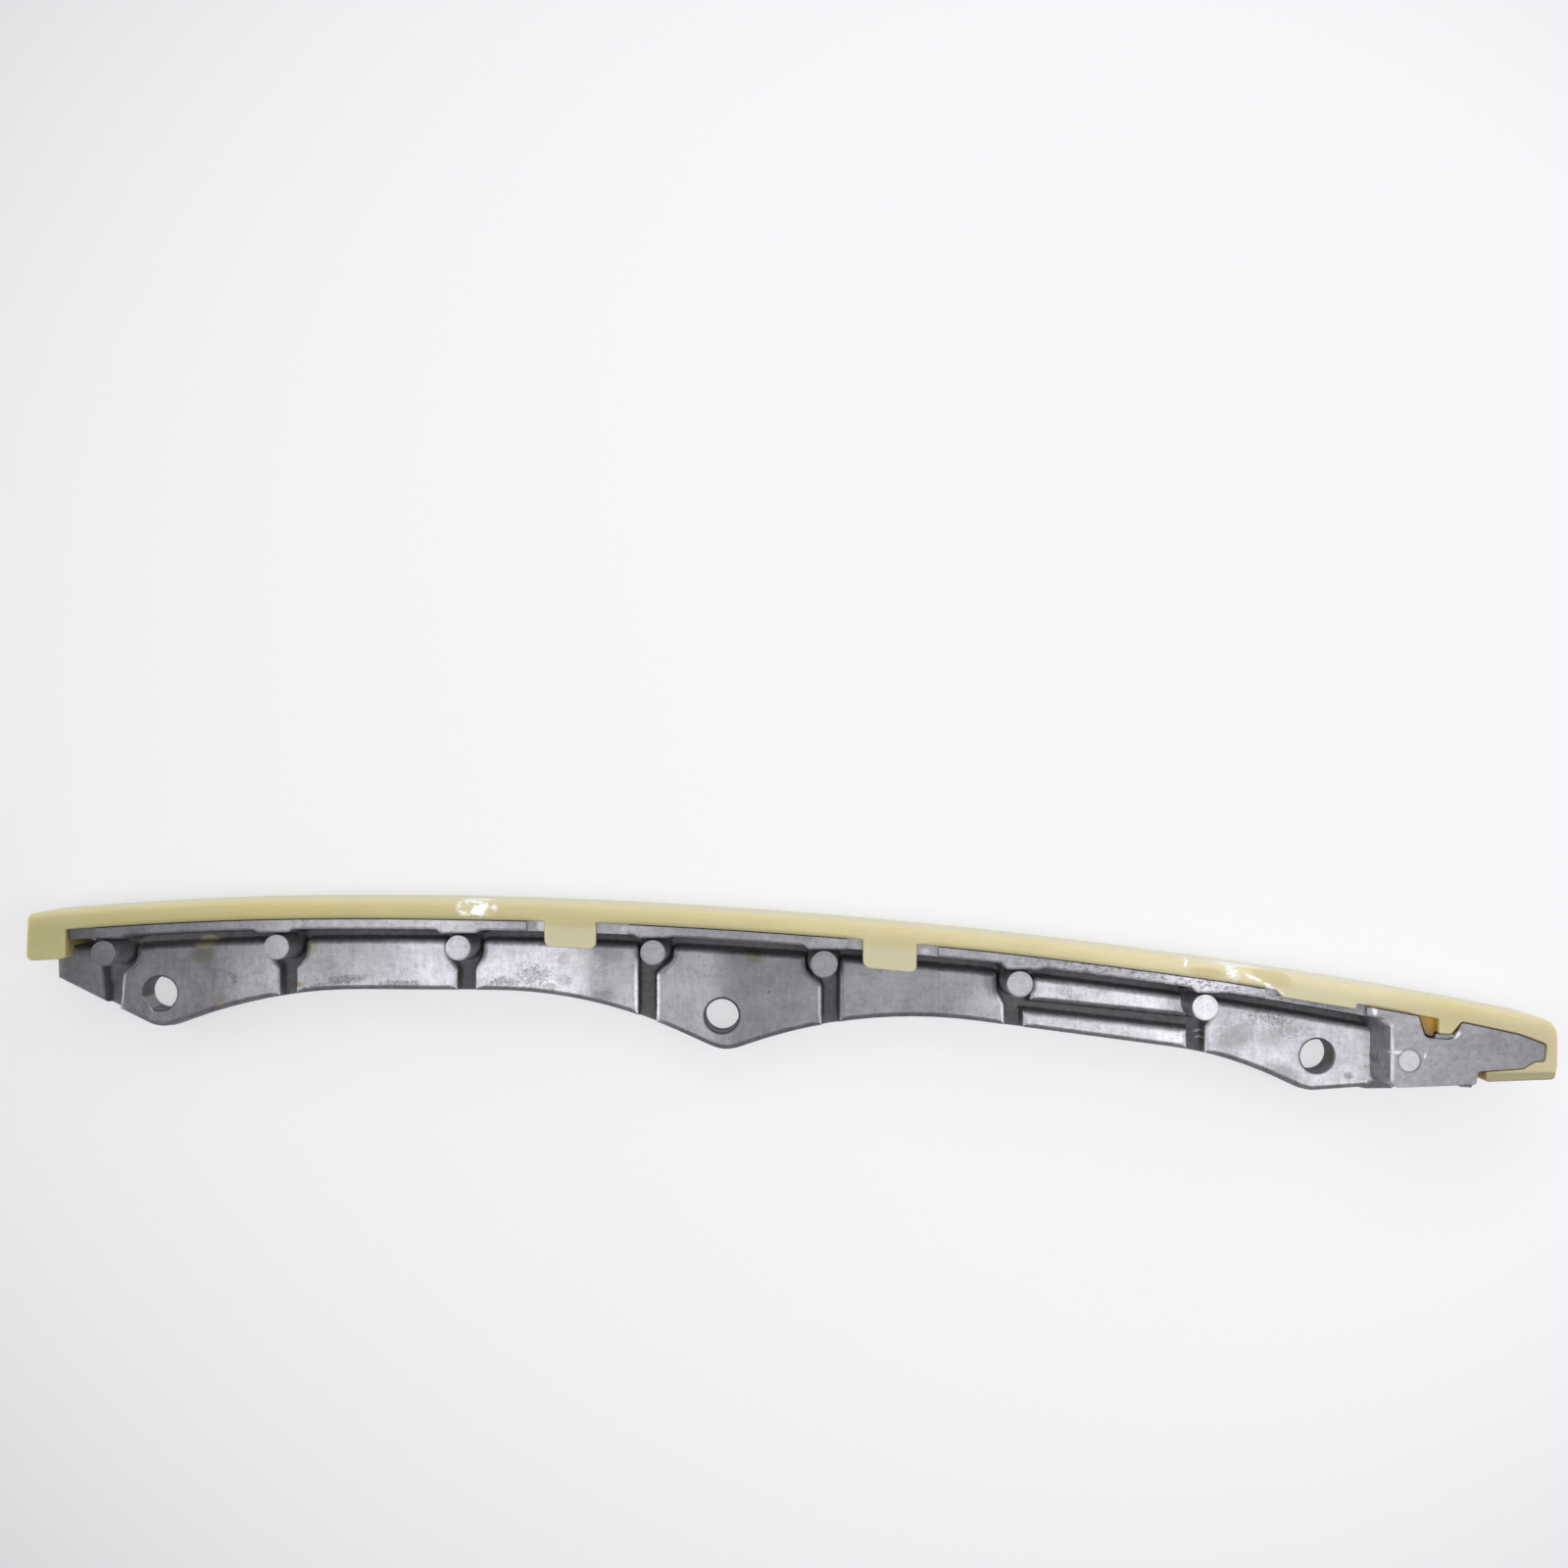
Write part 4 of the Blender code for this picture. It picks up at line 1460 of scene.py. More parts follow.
class ShaderGraph:
    """The node tree of one material."""

    def __init__(self, name: str) -> None:
        """Starts a material with its Principled shader.

        Args:
            name: name of the material.
        """
        self.material = bpy.data.materials.new(name)
        self.material.use_nodes = True
        self.tree = self.material.node_tree
        self.shader = self.tree.nodes["Principled BSDF"]

    def node(self, kind: str, settings: dict, inputs: dict) -> bpy.types.Node:
        """Adds a node.

        Args:
            kind: the node's type.
            settings: its settings, and "stops" for a colour ramp.
            inputs: values, sockets or Values by input name or number.

        Returns:
            The new node.
        """
        made = self.tree.nodes.new(kind)
        for key, setting in settings.items():
            if key == "stops":
                self.set_stops(made.color_ramp, setting)
            else:
                setattr(made, key, setting)
        for key, source in inputs.items():
            self.feed(made.inputs[key], source)
        return made

    def feed(self, socket: Socket, source: Source) -> None:
        """Links a source to an input socket, or sets the socket to a plain value.

        Args:
            socket: the input socket.
            source: what goes into it.
        """
        source = source.socket if isinstance(source, Value) else source
        if isinstance(source, Socket):
            self.tree.links.new(source, socket)
        else:
            socket.default_value = source

    @staticmethod
    def set_stops(ramp: bpy.types.ColorRamp, stops: Stops) -> None:
        """Sets the stops of a colour ramp from (place, colour) pairs.

        Args:
            ramp: the ramp that changes.
            stops: the pairs in rising order of place.
        """
        while len(ramp.elements) < len(stops):
            ramp.elements.new(1.0)
        for element, (place, colour) in zip(ramp.elements, stops):
            element.position = place
            element.color = (*colour, 1.0)

    def vector_maths(self, operation: str, inputs: dict) -> Socket:
        """The vector from a Vector Math node."""
        return self.node("ShaderNodeVectorMath", {"operation": operation}, inputs).outputs[0]

    def places(self) -> Socket:
        """Object coordinates in millimetres."""
        coordinates = self.node("ShaderNodeTexCoord", {}, {}).outputs["Object"]
        return self.vector_maths("SCALE", {0: coordinates, "Scale": 1.0 / MM})

    def parts(self, vector: Socket) -> tuple[Value, Value, Value]:
        """The three components of a vector."""
        node = self.node("ShaderNodeSeparateXYZ", {}, {0: vector})
        return tuple(Value(self, socket) for socket in node.outputs)

    def read(self, drawing: GuideDrawing) -> Reading:
        """What a finish of the guide is painted from.

        Args:
            drawing: curves of the guide.

        Returns:
            The places and directions at a point of the surface.
        """
        place = self.places()
        normal = self.node("ShaderNodeNewGeometry", {}, {}).outputs["Normal"]
        x, y, z = self.parts(place)
        return Reading(place, x, y, z, *self.parts(normal), below_running(drawing, x, y))

    def noise(self, vector: Socket, pattern: Pattern) -> Value:
        """Fractal noise from about 0.2 to 0.8, with its mean at a half.

        Args:
            vector: the place that is read.
            pattern: size and make of the noise.

        Returns:
            The noise.
        """
        if pattern.stretch is not None:
            vector = self.vector_maths("MULTIPLY_ADD", {0: vector, 1: pattern.stretch, 2: BLACK})
        inputs = {
            "Vector": vector,
            "Scale": pattern.scale,
            "Detail": pattern.detail,
            "Roughness": pattern.rough,
        }
        return Value(self, self.node("ShaderNodeTexNoise", {}, inputs).outputs[0])

    def ramp(self, along: Value, low: float, high: float, stops: Stops) -> Socket:
        """A colour that follows a value between two limits."""
        share = (along - low) * (1.0 / (high - low))
        return self.node("ShaderNodeValToRGB", {"stops": stops}, {0: share}).outputs[0]

    def mix(self, share: Value, first: Union[Colour, Socket], second: Union[Colour, Socket]) -> Socket:
        """The first colour where the share is 0 and the second where it is 1.

        Args:
            share: share of the second colour.
            first: the first colour.
            second: the second colour.

        Returns:
            The mixed colour.
        """
        inputs = {0: share}
        for key, colour in ((6, first), (7, second)):
            inputs[key] = (*colour, 1.0) if isinstance(colour, tuple) else colour
        return self.node("ShaderNodeMix", {"data_type": "RGBA", "clamp_factor": True}, inputs).outputs[2]

    def shade(self, colour: Socket, by: Value) -> Socket:
        """The colour times a value."""
        return self.vector_maths("SCALE", {0: colour, "Scale": by})

    def spot(self, vector: Socket, spot: Spot, wobble: Value) -> Value:
        """Mask of one spot: its strength inside, 0 outside, with an uneven edge.

        Args:
            vector: the place that is read.
            spot: the spot's place, size and strength.
            wobble: noise that makes the edge uneven.

        Returns:
            The mask.
        """
        centre = (spot.x + DRAWING_SHIFT[0], spot.y + DRAWING_SHIFT[1], 0.0)
        local = self.node("ShaderNodeMapping", {"vector_type": "TEXTURE"}, {
            "Vector": vector,
            "Location": centre,
            "Rotation": (0.0, 0.0, math.radians(spot.turn)),
            "Scale": (spot.half_length, spot.half_height, SPOT_DEPTH),
        }).outputs[0]
        length = self.node("ShaderNodeVectorMath", {"operation": "LENGTH"}, {0: local})
        distance = Value(self, length.outputs[1]) + wobble * spot.ragged
        mask = distance.fall(1.0 - spot.soft, 1.0 + spot.soft) * spot.strength
        if spot.hollow > 0.0:
            mask = mask * distance.rise(spot.hollow - spot.soft, spot.hollow + spot.soft)
        return mask

    def spots(self, vector: Socket, spots: Sequence[Spot], wobble: Value) -> Value:
        """The strongest of some spots' masks.

        Args:
            vector: places in millimetres.
            spots: the spots.
            wobble: noise round 0 that makes their edges uneven.

        Returns:
            The mask, where each spot gives way a little to those before it.
        """
        first, *others = spots
        total = self.spot(vector, first, wobble)
        for spot in others:
            total = total.highest(self.spot(vector, spot, wobble + total * GIVE_WAY))
        return total

    def surface(self, **sockets: Source) -> None:
        """Sets or links sockets of the shader, with underscores for the spaces in their names."""
        for key, source in sockets.items():
            self.feed(self.shader.inputs[key.replace("_", " ")], source)

    def bumped(self, height: Value, depth_mm: float, strength: float = 1.0) -> Socket:
        """A normal that follows a height in millimetres."""
        inputs = {"Strength": strength, "Distance": depth_mm * MM, "Height": height}
        return self.node("ShaderNodeBump", {}, inputs).outputs[0]


# Finishes


@dataclass(frozen=True)
class CastAluminium:
    """Die-cast aluminium with a dull skin, darker walls and recesses that are partly as-cast skin and
    partly painted shade, painted light and highlights, and stains of old oil.
    """

    drawing: GuideDrawing
    light: Colour = (0.69, 0.68, 0.72)
    dark: Colour = (0.37, 0.37, 0.40)
    # Colour of walls and recesses: partly the darker as-cast skin, partly painted shade.
    shaded_recess_light: Colour = (0.215, 0.215, 0.225)
    shaded_recess_dark: Colour = (0.10, 0.10, 0.105)
    highlight_and_pale_colour: Colour = (0.86, 0.85, 0.87)
    smudge_and_shadow_colour: Colour = (0.16, 0.16, 0.17)
    dark_mark_colour: Colour = (0.085, 0.085, 0.095)
    olive_colour: Colour = (0.13, 0.125, 0.075)
    grease_colour: Colour = (0.34, 0.31, 0.20)
    rust_colour: Colour = (0.36, 0.25, 0.11)
    broad: Pattern = Pattern(0.16, 3.0, 0.6)
    mottle: Pattern = Pattern(0.75, 4.0, 0.65)
    grain: Pattern = Pattern(3.2, 3.0, 0.7)
    upright: Pattern = Pattern(1.0, 3.0, 0.6, (1.6, 0.28, 1.0))
    flow: Pattern = Pattern(1.0, 3.0, 0.6, (0.22, 1.8, 1.0))
    ragged: Pattern = Pattern(1.5, 5.0, 0.75)
    fleck: Pattern = Pattern(2.2, 3.0, 0.6)
    oily: Pattern = Pattern(1.1, 4.0, 0.75, (0.7, 1.2, 1.0))
    patchy: Pattern = Pattern(2.6, 4.0, 0.8)
    front_z: Point = (11.0, 16.0)
    raised_z: Point = (5.9, 7.0)
    panel_rim_z: Point = (6.3, 7.6)
    lit_upper_wall_z: Point = (4.0, 7.6)
    shaded_lower_rim_z: Point = (8.5, 9.5)
    flange_end_x: Point = (114.0, 121.0)
    lit_end_wall_x: Point = (112.0, 119.0)
    block_rim_highlight_x: Point = (120.5, 126.5)
    left_end_x: Point = (-138.0, -118.0)
    oily_x: tuple[Point, Point] = ((20.0, 60.0), (112.0, 120.0))
    head_depth: Point = (6.3, 6.9)
    ledge: tuple[Point, Point, Point] = ((120.6, 125.4), (-18.4, -17.6), (7.4, 8.0))
    top_tone: float = 2.0
    # Painted light and shade along the guide, partly the metal's uneven tone: factors for the web, the
    # front faces and the heads of the bosses.
    web_light_and_tone: Tones = (
        (-152.0, 0.26), (-146.0, 0.32), (-134.0, 0.38), (-121.0, 0.40), (-112.0, 0.72), (-107.0, 0.95),
        (-97.0, 0.68), (-90.0, 0.94), (-84.0, 1.08), (-76.0, 1.38), (-62.0, 1.36), (-48.0, 1.42),
        (-40.0, 0.80), (-34.0, 0.80), (-24.0, 0.70), (-18.0, 0.70), (-11.0, 0.38), (2.0, 0.46),
        (18.0, 0.57), (30.0, 0.50), (40.0, 0.76), (52.0, 1.24), (66.0, 1.38), (78.0, 1.60),
        (92.0, 1.12), (98.0, 1.34), (104.0, 1.18), (114.0, 1.24), (122.0, 1.36),
    )
    front_light_and_tone: Tones = (
        (-150.0, 0.19), (-137.0, 0.30), (-120.0, 0.38), (-105.0, 0.66), (-86.0, 0.84), (-70.0, 1.02),
        (-56.0, 0.62), (-32.0, 0.64), (-14.0, 0.45), (6.0, 0.56), (30.0, 0.64), (52.0, 0.68),
        (70.0, 0.82), (82.0, 1.28), (90.0, 1.15), (100.0, 0.66), (112.0, 0.46), (124.0, 0.72),
        (132.0, 0.60), (156.0, 0.48),
    )
    head_light_and_tone: Tones = (
        (-139.1, 1.12), (-103.7, 1.10), (-66.6, 1.0), (-26.8, 1.03), (8.2, 0.90), (48.2, 1.24),
        (86.1, 1.06),
    )
    lit_from_left: tuple[Point, ...] = ((-140.0, -134.3), (-27.5, -22.0))
    lit_from_right: tuple[Point, ...] = ((-32.2, -29.0), (3.5, 9.0), (43.0, 47.0))
    grease: tuple[Spot, ...] = (
        Spot(-121.3, -33.1, 2.2, 1.2, 0.95, 0.25, 0.9),
        Spot(-98.4, -34.4, 1.3, 0.8, 0.6, 0.3, 1.6, 75.0),
        Spot(-97.4, -36.4, 0.5, 0.9, 0.5, 0.3, 1.2),
    )
    rust: tuple[Spot, ...] = (
        Spot(-101.7, -41.9, 0.9, 0.5, 0.9, 0.3, 0.8),
        Spot(-118.0, -46.2, 1.0, 0.4, 0.35, 0.4, 1.0, 20.0),
    )
    olive: tuple[Spot, ...] = (
        Spot(-121.4, -35.5, 2.3, 2.0, 0.7, 0.5, 0.9),
        Spot(-6.2, -35.9, 1.9, 1.6, 0.6, 0.5, 1.2),
        Spot(-117.9, -45.0, 1.6, 1.2, 0.35, 0.6, 1.2),
    )
    dark_marks: tuple[Spot, ...] = (
        Spot(-115.4, -40.0, 1.2, 0.45, 0.9, 0.3, 1.4, -20.0),
        Spot(-115.0, -41.2, 0.5, 0.9, 0.8, 0.3, 1.4, 25.0),
        Spot(-91.2, -40.8, 4.4, 0.8, 0.8, 0.35, 3.0, 4.0),
        Spot(-80.6, -41.7, 4.8, 0.6, 0.75, 0.35, 3.0),
        Spot(-97.5, -42.6, 1.4, 1.0, 0.6, 0.4, 3.0),
        Spot(-58.4, -41.4, 3.0, 1.2, 0.75, 0.3, 4.2),
        Spot(-52.4, -40.0, 3.2, 2.0, 0.7, 0.3, 5.0),
        Spot(-49.0, -42.4, 1.6, 0.8, 0.6, 0.3, 3.0),
        Spot(-3.1, -43.5, 0.3, 0.3, 0.9, 0.3, 0.2),
        Spot(3.6, -31.4, 2.6, 0.8, 0.5, 0.4, 3.0, -6.0),
        Spot(101.8, -48.9, 4.6, 1.6, 0.75, 0.5, 4.0, -12.0),
        Spot(106.0, -51.4, 3.6, 1.3, 0.5, 0.5, 4.0, -10.0),
        Spot(58.6, -43.0, 3.0, 1.1, 0.35, 0.4, 4.0, -30.0),
        Spot(66.0, -43.4, 2.0, 0.8, 0.3, 0.4, 4.0),
        Spot(122.75, -57.1, 0.45, 0.9, 0.95, 0.3, 1.2),
    )
    # Dark blotches on raised faces, among them painted shadows round the first clip, beside the sixth boss
    # and by the gate below the end block.
    smudges_and_shadows: tuple[Spot, ...] = (
        Spot(-46.1, -36.5, 1.4, 1.2, 0.35, 0.6, 1.6),
        Spot(-46.1, -41.0, 1.5, 1.2, 0.4, 0.6, 1.6),
        Spot(-36.8, -35.4, 3.2, 2.0, 0.5, 0.6, 1.4, -20.0),
        Spot(-37.9, -44.3, 2.2, 1.3, 0.5, 0.6, 1.4),
        Spot(-10.0, -37.0, 4.0, 2.6, 0.30, 0.8, 1.2),
        Spot(43.4, -41.8, 1.6, 3.0, 0.55, 0.5, 1.0, 18.0),
        Spot(95.0, -52.6, 4.4, 2.5, 0.34, 0.35, 1.2, 24.0),
        Spot(101.6, -53.0, 3.4, 1.9, 0.32, 0.5, 1.6, -14.0),
        Spot(104.8, -60.4, 3.6, 1.5, 0.42, 0.6, 0.8, -28.0),
        Spot(118.1, -61.1, 1.0, 0.7, 0.6, 0.5, 1.6),
        Spot(67.0, -52.0, 17.0, 2.0, 0.20, 0.3, 0.4, -13.0),
        Spot(139.7, -61.8, 2.2, 0.5, 0.95, 0.3, 0.3),
    )
    # Painted shade: dark rings round the bolt holes and the pin mark, where their broken edges fall in
    # shade.
    rims: tuple[Spot, ...] = (
        Spot(-130.5, -43.8, 3.9, 3.9, 0.75, 0.05, 0.04, 0.0, 0.9),
        Spot(-13.0, -48.5, 3.95, 3.95, 0.9, 0.05, 0.04, 0.0, 0.88),
        Spot(111.5, -56.9, 3.9, 3.9, 0.75, 0.05, 0.04, 0.0, 0.9),
        Spot(127.6, -56.5, 2.5, 2.5, 0.45, 0.08, 0.12, 0.0, 0.9),
    )
    # Painted highlights: the lower-left edge of the first bolt hole, and two in the groove below the last
    # boss.
    glints: tuple[Spot, ...] = (
        Spot(-133.1, -46.0, 1.9, 0.28, 0.75, 0.3, 0.2, -55.0),
        Spot(87.3, -52.0, 0.8, 0.28, 0.7, 0.4, 0.5, 15.0),
        Spot(87.5, -53.3, 0.8, 0.25, 0.7, 0.4, 0.5, 15.0),
    )
    # Painted highlights on edges and corners of the front faces, and the paler face of the ejector pin
    # mark.
    highlights_and_pale_marks: tuple[Spot, ...] = (
        Spot(127.6, -56.5, 2.2, 2.2, 0.42, 0.1, 0.15),
        Spot(123.4, -48.7, 1.3, 0.45, 0.7, 0.5, 0.4, -42.0),
        Spot(125.0, -54.8, 1.3, 0.35, 0.9, 0.3, 0.3),
        Spot(130.8, -55.5, 0.25, 0.6, 0.9, 0.3, 0.2, -12.0),
        Spot(124.25, -56.2, 0.33, 5.4, 0.55, 0.4, 0.8),
        Spot(120.5, -46.0, 0.5, 1.2, 0.9, 0.4, 0.5, 10.0),
        Spot(137.3, -51.2, 0.9, 0.5, 0.85, 0.4, 1.2, 40.0),
        Spot(-49.5, -29.0, 1.0, 1.0, 0.5, 0.4, 1.0),
        Spot(-32.6, -29.6, 0.8, 0.6, 0.3, 0.4, 1.6),
        Spot(28.9, -34.2, 0.9, 0.6, 0.3, 0.4, 1.6, -6.0),
    )

    @staticmethod
    def windows(x: Value, spans: Sequence[Point]) -> Value:
        """1 inside any of some spans along the guide, given on the drawing."""
        shift = DRAWING_SHIFT[0]
        return reduce(Value.highest, [x.within(low + shift, high + shift) for low, high in spans])

    def light_and_tone(self, graph: ShaderGraph, x: Value, stops: Tones) -> Value:
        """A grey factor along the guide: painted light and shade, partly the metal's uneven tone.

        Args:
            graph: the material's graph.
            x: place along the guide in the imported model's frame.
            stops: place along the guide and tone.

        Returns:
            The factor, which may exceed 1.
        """
        low, high = stops[0][0], stops[-1][0]
        greys = [((at - low) / (high - low), (tone / self.top_tone,) * 3) for at, tone in stops]
        ramp = graph.ramp(x, low, high, greys)
        value = graph.node("ShaderNodeSeparateColor", {}, {0: ramp}).outputs[0]
        return Value(graph, value) * self.top_tone

    def skin(self, graph: ShaderGraph, at: Reading, tone: Value, front: Value, head: Value) -> Socket:
        """Colour of the faces that look at the camera, with painted light and shade along the guide and
        painted highlights on rims.

        Args:
            graph: the material's graph.
            at: what is read at each point.
            tone: the metal's uneven tone, from dark to light.
            front: share of the front faces.
            head: share of the bosses' heads.

        Returns:
            The colour.
        """
        x, up = at.x, at.up
        web, top, heads = (
            self.light_and_tone(graph, x, stops) for stops in (self.web_light_and_tone, self.front_light_and_tone, self.head_light_and_tone)
        )
        # Painted highlights on the panel rims that face the side lamps.
        rims = at.z.within(*self.panel_rim_z) * up.fall(0.92, 0.99)
        from_left = self.windows(x, self.lit_from_left) * at.aside.fall(-0.4, -0.15)
        from_right = self.windows(x, self.lit_from_right) * at.aside.rise(0.15, 0.4)
        lit = rims * from_left.highest(from_right)
        # Painted light and shade along the guide, times the painted rim highlights.
        level = (web + (top * (1.0 + (heads - 1.0) * head) - web) * front) * (1.0 + lit * 1.2)
        # Painted highlight along the end block's left rim.
        block_rim_highlight = front * x.within(*self.block_rim_highlight_x) * at.aside.fall(-0.6, -0.25) * up.rise(0.05, 0.3)
        colour = graph.shade(graph.mix(tone, self.dark, self.light), level)
        return graph.mix(block_rim_highlight * 0.8, colour, self.highlight_and_pale_colour)

    def material(self) -> Finish:
        """Builds the finish.

        Returns:
            The material.
        """
        graph = ShaderGraph("cast_aluminium")
        at = graph.read(self.drawing)
        p, x, z, up = at.place, at.x, at.z, at.up
        patterns = (self.broad, self.mottle, self.grain, self.upright, self.flow)
        broad, mottle, grain, upright, flow = (graph.noise(p, pattern) for pattern in patterns)
        front = z.rise(*self.front_z)
        flange = front * x.fall(*self.flange_end_x)
        head = flange * at.depth.rise(*self.head_depth)
        tone = (mottle - 0.5) * 1.7 + (broad - 0.5) * 1.1 + (grain - 0.5) * 0.9
        tone = tone + (upright - 0.5) * (1.0 - front) * 0.9 + (flow - 0.5) * 0.5
        tone = (tone + (grain - 0.5) * 0.7 * flange) * (1.0 - head * 0.15) + 0.58
        skin = self.skin(graph, at, tone, front, head)

        # Painted shade: rims facing down the guide and the ledge at the foot of the end wall take the
        # darker recess colour.
        along, across, high = self.ledge
        ledge = x.within(*along) * at.y.fall(*across) * z.fall(*high)
        shaded_lower_rim = at.across.fall(-0.42, -0.08) * z.fall(*self.shaded_lower_rim_z)
        raised = z.rise(*self.raised_z) * up.rise(0.1, 0.55) * (1.0 - shaded_lower_rim.highest(ledge) * 0.9)
        # Painted light on walls: the end wall and walls facing the top of the guide are lighter; the
        # recesses are also lighter towards the left end.
        lit_end_wall = x.rise(*self.lit_end_wall_x) * at.aside.fall(-0.9, -0.5)
        lit_upper_wall = at.across.rise(0.3, 0.7) * z.within(*self.lit_upper_wall_z)
        painted_wall_light = 0.9 + lit_end_wall * 0.6 + x.fall(*self.left_end_x) * 0.3 + lit_upper_wall * 1.3
        # Walls and recesses: partly the darker as-cast skin, partly painted shade.
        hollow = graph.mix(mottle * 2.4 - 0.7, self.shaded_recess_dark, self.shaded_recess_light)
        hollow = graph.shade(hollow, painted_wall_light * (0.85 + grain * 0.3))
        colour = graph.mix(raised, hollow, skin)

        ragged = graph.noise(p, self.ragged) - 0.5
        fleck = graph.noise(p, self.fleck).rise(0.60, 0.70) * mottle.fall(0.42, 0.62) * 0.55
        start, end = self.oily_x
        oily = (front - head).highest(0.0) * x.rise(*start) * x.fall(*end)
        oily = oily * graph.noise(p, self.oily).rise(0.50, 0.60)
        patchy = graph.noise(p, self.patchy).rise(0.40, 0.62) * 0.75 + 0.15
        # Dark blotches and painted shadows on the raised faces.
        colour = graph.mix(graph.spots(p, self.smudges_and_shadows, ragged) * raised, colour, self.smudge_and_shadow_colour)
        # Dark marks, flecks and oil stains, with the painted shade rings round the holes and the pin mark.
        dark_marks = (graph.spots(p, self.dark_marks, ragged) * patchy).highest(graph.spots(p, self.rims, ragged))
        black = dark_marks.highest(fleck * raised).highest(oily * 0.6)
        colour = graph.mix(black, colour, self.dark_mark_colour)
        # Painted highlights, and the paler pin mark.
        highlight_and_pale = graph.spots(p, self.highlights_and_pale_marks, ragged) * front * (0.4 + mottle * 1.2)
        highlight_and_pale = highlight_and_pale.highest(graph.spots(p, self.glints, ragged) * 0.6)
        colour = graph.mix(highlight_and_pale, colour, self.highlight_and_pale_colour)
        colour = graph.mix(graph.spots(p, self.olive, ragged), colour, self.olive_colour)
        grease = graph.spots(p, self.grease, ragged)
        colour = graph.mix(grease, colour, self.grease_colour)
        colour = graph.mix(graph.spots(p, self.rust, ragged), colour, self.rust_colour)

        graph.surface(
            Base_Color=colour,
            Metallic=0.45 + raised * 0.3 - grease * 0.5,
            Roughness=0.58 - raised * 0.08 + (mottle - 0.5) * 0.3 + dark_marks * 0.12 - grease * 0.2,
            Normal=graph.bumped(grain * 0.7 + mottle * 0.9 + upright * 0.4, 0.10, 0.6),
        )
        return graph.material


@dataclass(frozen=True)
class NaturalNylon:
    """Natural nylon: cream-yellow, slightly clear, with films of oil and painted glints on them, painted
    light and shade, and painted light coming through it.
    """

    drawing: GuideDrawing
    unit: float = 156.0
    backlit_amber: Colour = (0.38, 0.225, 0.008)
    shaded_brown: Colour = (0.15, 0.085, 0.035)
    painted_glow: Colour = (0.13, 0.068, 0.0)
    lit_top_edge_colour: Colour = (0.71, 0.68, 0.50)
    clip_colour: Colour = (0.60, 0.555, 0.38)
    jaw_shade_colour: Colour = (0.30, 0.27, 0.08)
    soaked_and_reflection_colour: Colour = (0.56, 0.46, 0.20)
    glint_colour: Colour = (0.98, 0.97, 0.93)
    cloud: Pattern = Pattern(0.22, 3.0, 0.6, (0.25, 1.0, 1.0))
    streak: Pattern = Pattern(1.0, 3.0, 0.6, (0.12, 1.6, 1.6))
    grain: Pattern = Pattern(3.5, 2.0, 0.6)
    ragged: Pattern = Pattern(0.8, 4.0, 0.7)
    crease: Pattern = Pattern(0.7, 3.0, 0.6, (0.6, 1.0, 1.0))
    arm: tuple[Point, Point] = ((138.0, 140.0), (-15.2, -14.4))
    arm_end: tuple[Point, Point, Point] = ((139.0, 143.0), (-14.0, -12.0), (10.0, 15.0))
    peg: tuple[Point, Point, Point] = ((127.2, 132.2), (-8.6, -2.2), (16.9, 17.7))
    peg_light: tuple[Point, Point] = ((127.4, 130.6), (-8.0, -4.6))
    inner_left_x: Point = (-143.0, -141.0)
    ends_x: Point = (118.0, 126.0)
    clip_depth: Point = (4.2, 5.4)
    film_z: Point = (8.0, 13.0)
    along: Stops = (
        (0.02, (0.49, 0.445, 0.20)),
        (0.15, (0.56, 0.485, 0.205)),
        (0.31, (0.60, 0.53, 0.26)),
        (0.50, (0.64, 0.56, 0.275)),
        (0.66, (0.68, 0.595, 0.315)),
        (0.80, (0.78, 0.70, 0.445)),
        (0.88, (0.72, 0.65, 0.41)),
        (0.93, (0.67, 0.58, 0.29)),
        (1.00, (0.66, 0.585, 0.36)),
    )
    # Places of the oil film, where painted glints go.
    film: tuple[Spot, ...] = (
        Spot(-62.6, -25.2, 3.6, 2.0, 1.0, 0.3, 1.4),
        Spot(82.0, -36.4, 0.45, 1.2, 1.0, 0.3, 0.6, -10.0),
        Spot(88.5, -35.9, 4.6, 0.55, 0.9, 0.4, 1.0, -8.0),
        Spot(91.5, -38.0, 1.3, 2.6, 1.0, 0.3, 1.0, 20.0),
        Spot(97.5, -40.6, 4.2, 0.5, 1.0, 0.4, 0.8, -27.0),
        Spot(93.5, -36.8, 5.4, 0.8, 0.85, 0.4, 1.0, -8.0),
    )
    # Darker deep-yellow patches: partly nylon darkened by oil, partly a painted dark reflection in the oil
    # film.
    soaked_and_reflection: tuple[Spot, ...] = (
        Spot(99.4, -39.3, 4.4, 1.7, 0.5, 0.25, 0.6, -20.0),
        Spot(86.0, -38.4, 3.6, 1.0, 0.6, 0.4, 0.8, -6.0),
        Spot(-62.6, -25.6, 3.0, 1.2, 0.3, 0.5, 1.0),
    )

    def material(self) -> Finish:
        """Builds the finish.

        Returns:
            The material.
        """
        graph = ShaderGraph("natural_nylon")
        at = graph.read(self.drawing)
        p, x, y, z, up, depth = at.place, at.x, at.y, at.z, at.up, at.depth
        patterns = (self.cloud, self.streak, self.grain, self.ragged, self.crease)
        cloud, streak, grain, ragged, crease = (graph.noise(p, pattern) for pattern in patterns)

        colour = graph.ramp(x, -self.unit, self.unit, self.along)
        tone = 1.0 + (cloud - 0.5) * 0.25 + (streak - 0.5) * 0.14 + (grain - 0.5) * 0.08
        arm = x.rise(*self.arm[0]) * y.fall(*self.arm[1])
        # Painted shade: darker with depth below the running face; also darker on the arm.
        tone = tone * (1.04 - depth.rise(0.6, 3.6) * 0.16 - arm * 0.32)
        colour = graph.shade(colour, tone)
